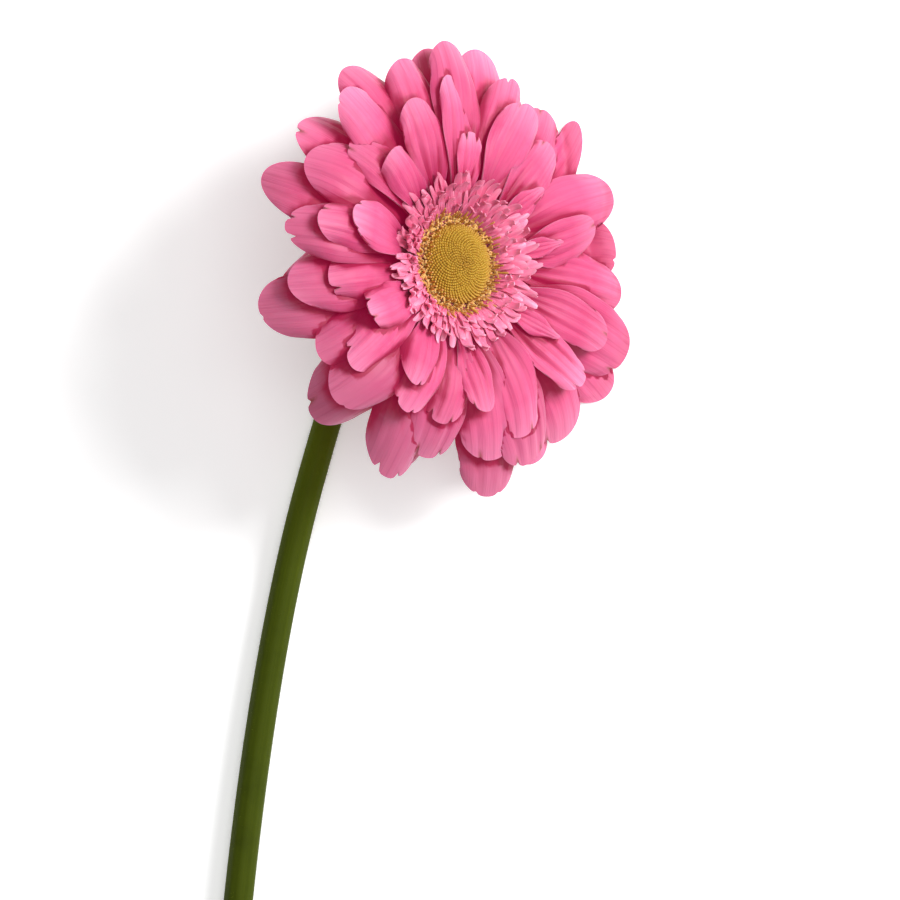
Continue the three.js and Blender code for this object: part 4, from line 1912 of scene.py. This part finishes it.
    def build_down(self) -> None:
        """Builds the down, half of it on the neck."""
        rng = np.random.default_rng(self.hair_seed)
        half = self.hairs // 2
        ends = (self.neck_steps, self.last - 0.3)
        station = np.concatenate([rng.uniform(0, end, half) for end in ends])
        turn = rng.uniform(-self.hair_spread, self.hair_spread, len(station)) * FULL_TURN
        feet, out = (self.surface(station, turn, share) for share in self.hair_shares)
        normal = out - feet
        normal /= np.linalg.norm(normal, axis=1, keepdims=True)
        lean = rng.normal(0, self.hair_lean, (len(station), 3))
        tips = feet + (normal + lean) * rng.uniform(*self.hair_lengths, (len(station), 1)) * MM
        tips[:, 2] = np.maximum(tips[:, 2], self.hair_lowest * MM)
        down = spikes("stem_down", feet, tips, self.hair_radius * MM)
        settle(down, [self.down.material()], "stem_skin", "stem")

    def build(self) -> None:
        """Builds the stem and its down."""
        self.build_skin()
        self.build_down()


# The studio


@dataclass(frozen=True)
class SoftLight:
    """One square light: where it hangs from the head and its side, in metres, and its power in watts."""

    name: str
    spot: tuple[float, float, float]
    side: float
    power: float


@dataclass(frozen=True)
class Studio:
    """A pale floor under soft light, seen from straight above as the photograph sees the flower."""

    floor_side: float = 6.0
    floor_drop: float = 0.0002
    floor_finish: PlainFinish = PlainFinish(
        "floor_paper",
        colour=srgb(250, 250, 250),
        second=srgb(247, 247, 247),
        scale=30.0,
        roughness=0.9,
        glow=0.35,
    )
    room_light: float = 0.27
    lights: tuple[SoftLight, ...] = (
        SoftLight("key", (1.08, 0.55, 0.92), 0.6, 25.5),
        SoftLight("top", (0.1, 0.0, 1.6), 1.0, 8.0),
    )
    camera_height: float = 1.3
    camera_reach: float = 50.0
    sensor: float = 36.0
    # The photograph's scale, and where its square of the flower and the disc lie in it
    pixels_per_mm: float = 2.0
    disc_pixel: tuple[float, float] = (566.6, 591.3)
    view_centre: tuple[float, float] = (565.0, 682.0)
    view_side: float = 440.0

    def build_floor(self) -> None:
        """Lays the floor."""
        deselect_all()
        bpy.ops.mesh.primitive_plane_add(size=self.floor_side, location=(0, 0, -self.floor_drop))
        floor = bpy.context.object
        floor.name = "floor"
        bpy.ops.object.transform_apply(location=True, rotation=True, scale=True)
        floor.data.materials.append(self.floor_finish.material())

    def build_lights(self) -> None:
        """Hangs a soft light at the upper right and a larger, weaker one above, and lights the room."""
        world = bpy.data.worlds.new("room")
        bpy.context.scene.world = world
        world.use_nodes = True
        background = world.node_tree.nodes["Background"]
        background.inputs["Color"].default_value = (1.0, 1.0, 1.0, 1.0)
        background.inputs["Strength"].default_value = self.room_light
        head = HEAD.origin() * MM
        for plan in self.lights:
            spot = Vector(plan.spot)
            deselect_all()
            bpy.ops.object.light_add(type="AREA", location=head + spot)
            light = bpy.context.object
            light.name = plan.name
            light.data.size = plan.side
            light.data.energy = plan.power
            light.rotation_euler = (-spot).to_track_quat("-Z", "Y").to_euler()

    def build_camera(self) -> None:
        """Sets the camera so that the flower stands in the frame as in a square of the photograph."""
        disc = HEAD.origin() * MM
        metres_per_pixel = MM / self.pixels_per_mm
        side = self.view_side * metres_per_pixel
        x = disc.x + (self.view_centre[0] - self.disc_pixel[0]) * metres_per_pixel
        y = disc.y - (self.view_centre[1] - self.disc_pixel[1]) * metres_per_pixel
        deselect_all()
        bpy.ops.object.camera_add(location=(x, y, self.camera_height), rotation=(0, 0, 0))
        camera = bpy.context.object
        camera.data.sensor_width = self.sensor
        camera.data.lens = self.sensor * (self.camera_height - disc.z) / side
        camera.data.clip_end = self.camera_reach
        bpy.context.scene.camera = camera

    def build(self) -> None:
        """Builds the studio."""
        self.build_floor()
        self.build_lights()
        self.build_camera()
        bpy.context.scene.view_settings.view_transform = "Standard"


def main() -> None:
    """Builds the flower and its studio, and logs how many triangles each piece of the flower has."""
    logging.basicConfig(level=logging.INFO, format="%(message)s")
    steps: tuple[tuple[str, Callable[[], None]], ...] = (
        ("studio", Studio().build),
        ("stem", Stem().build),
        ("involucre", Involucre().build),
        ("ray florets", RayFlorets().build),
        ("trans florets", TransFlorets().build),
        ("disc florets", DiscFlorets().build),
    )
    for name, build in steps:
        build()
        LOG.info("built the %s", name)


if __name__ == "__main__":
    main()
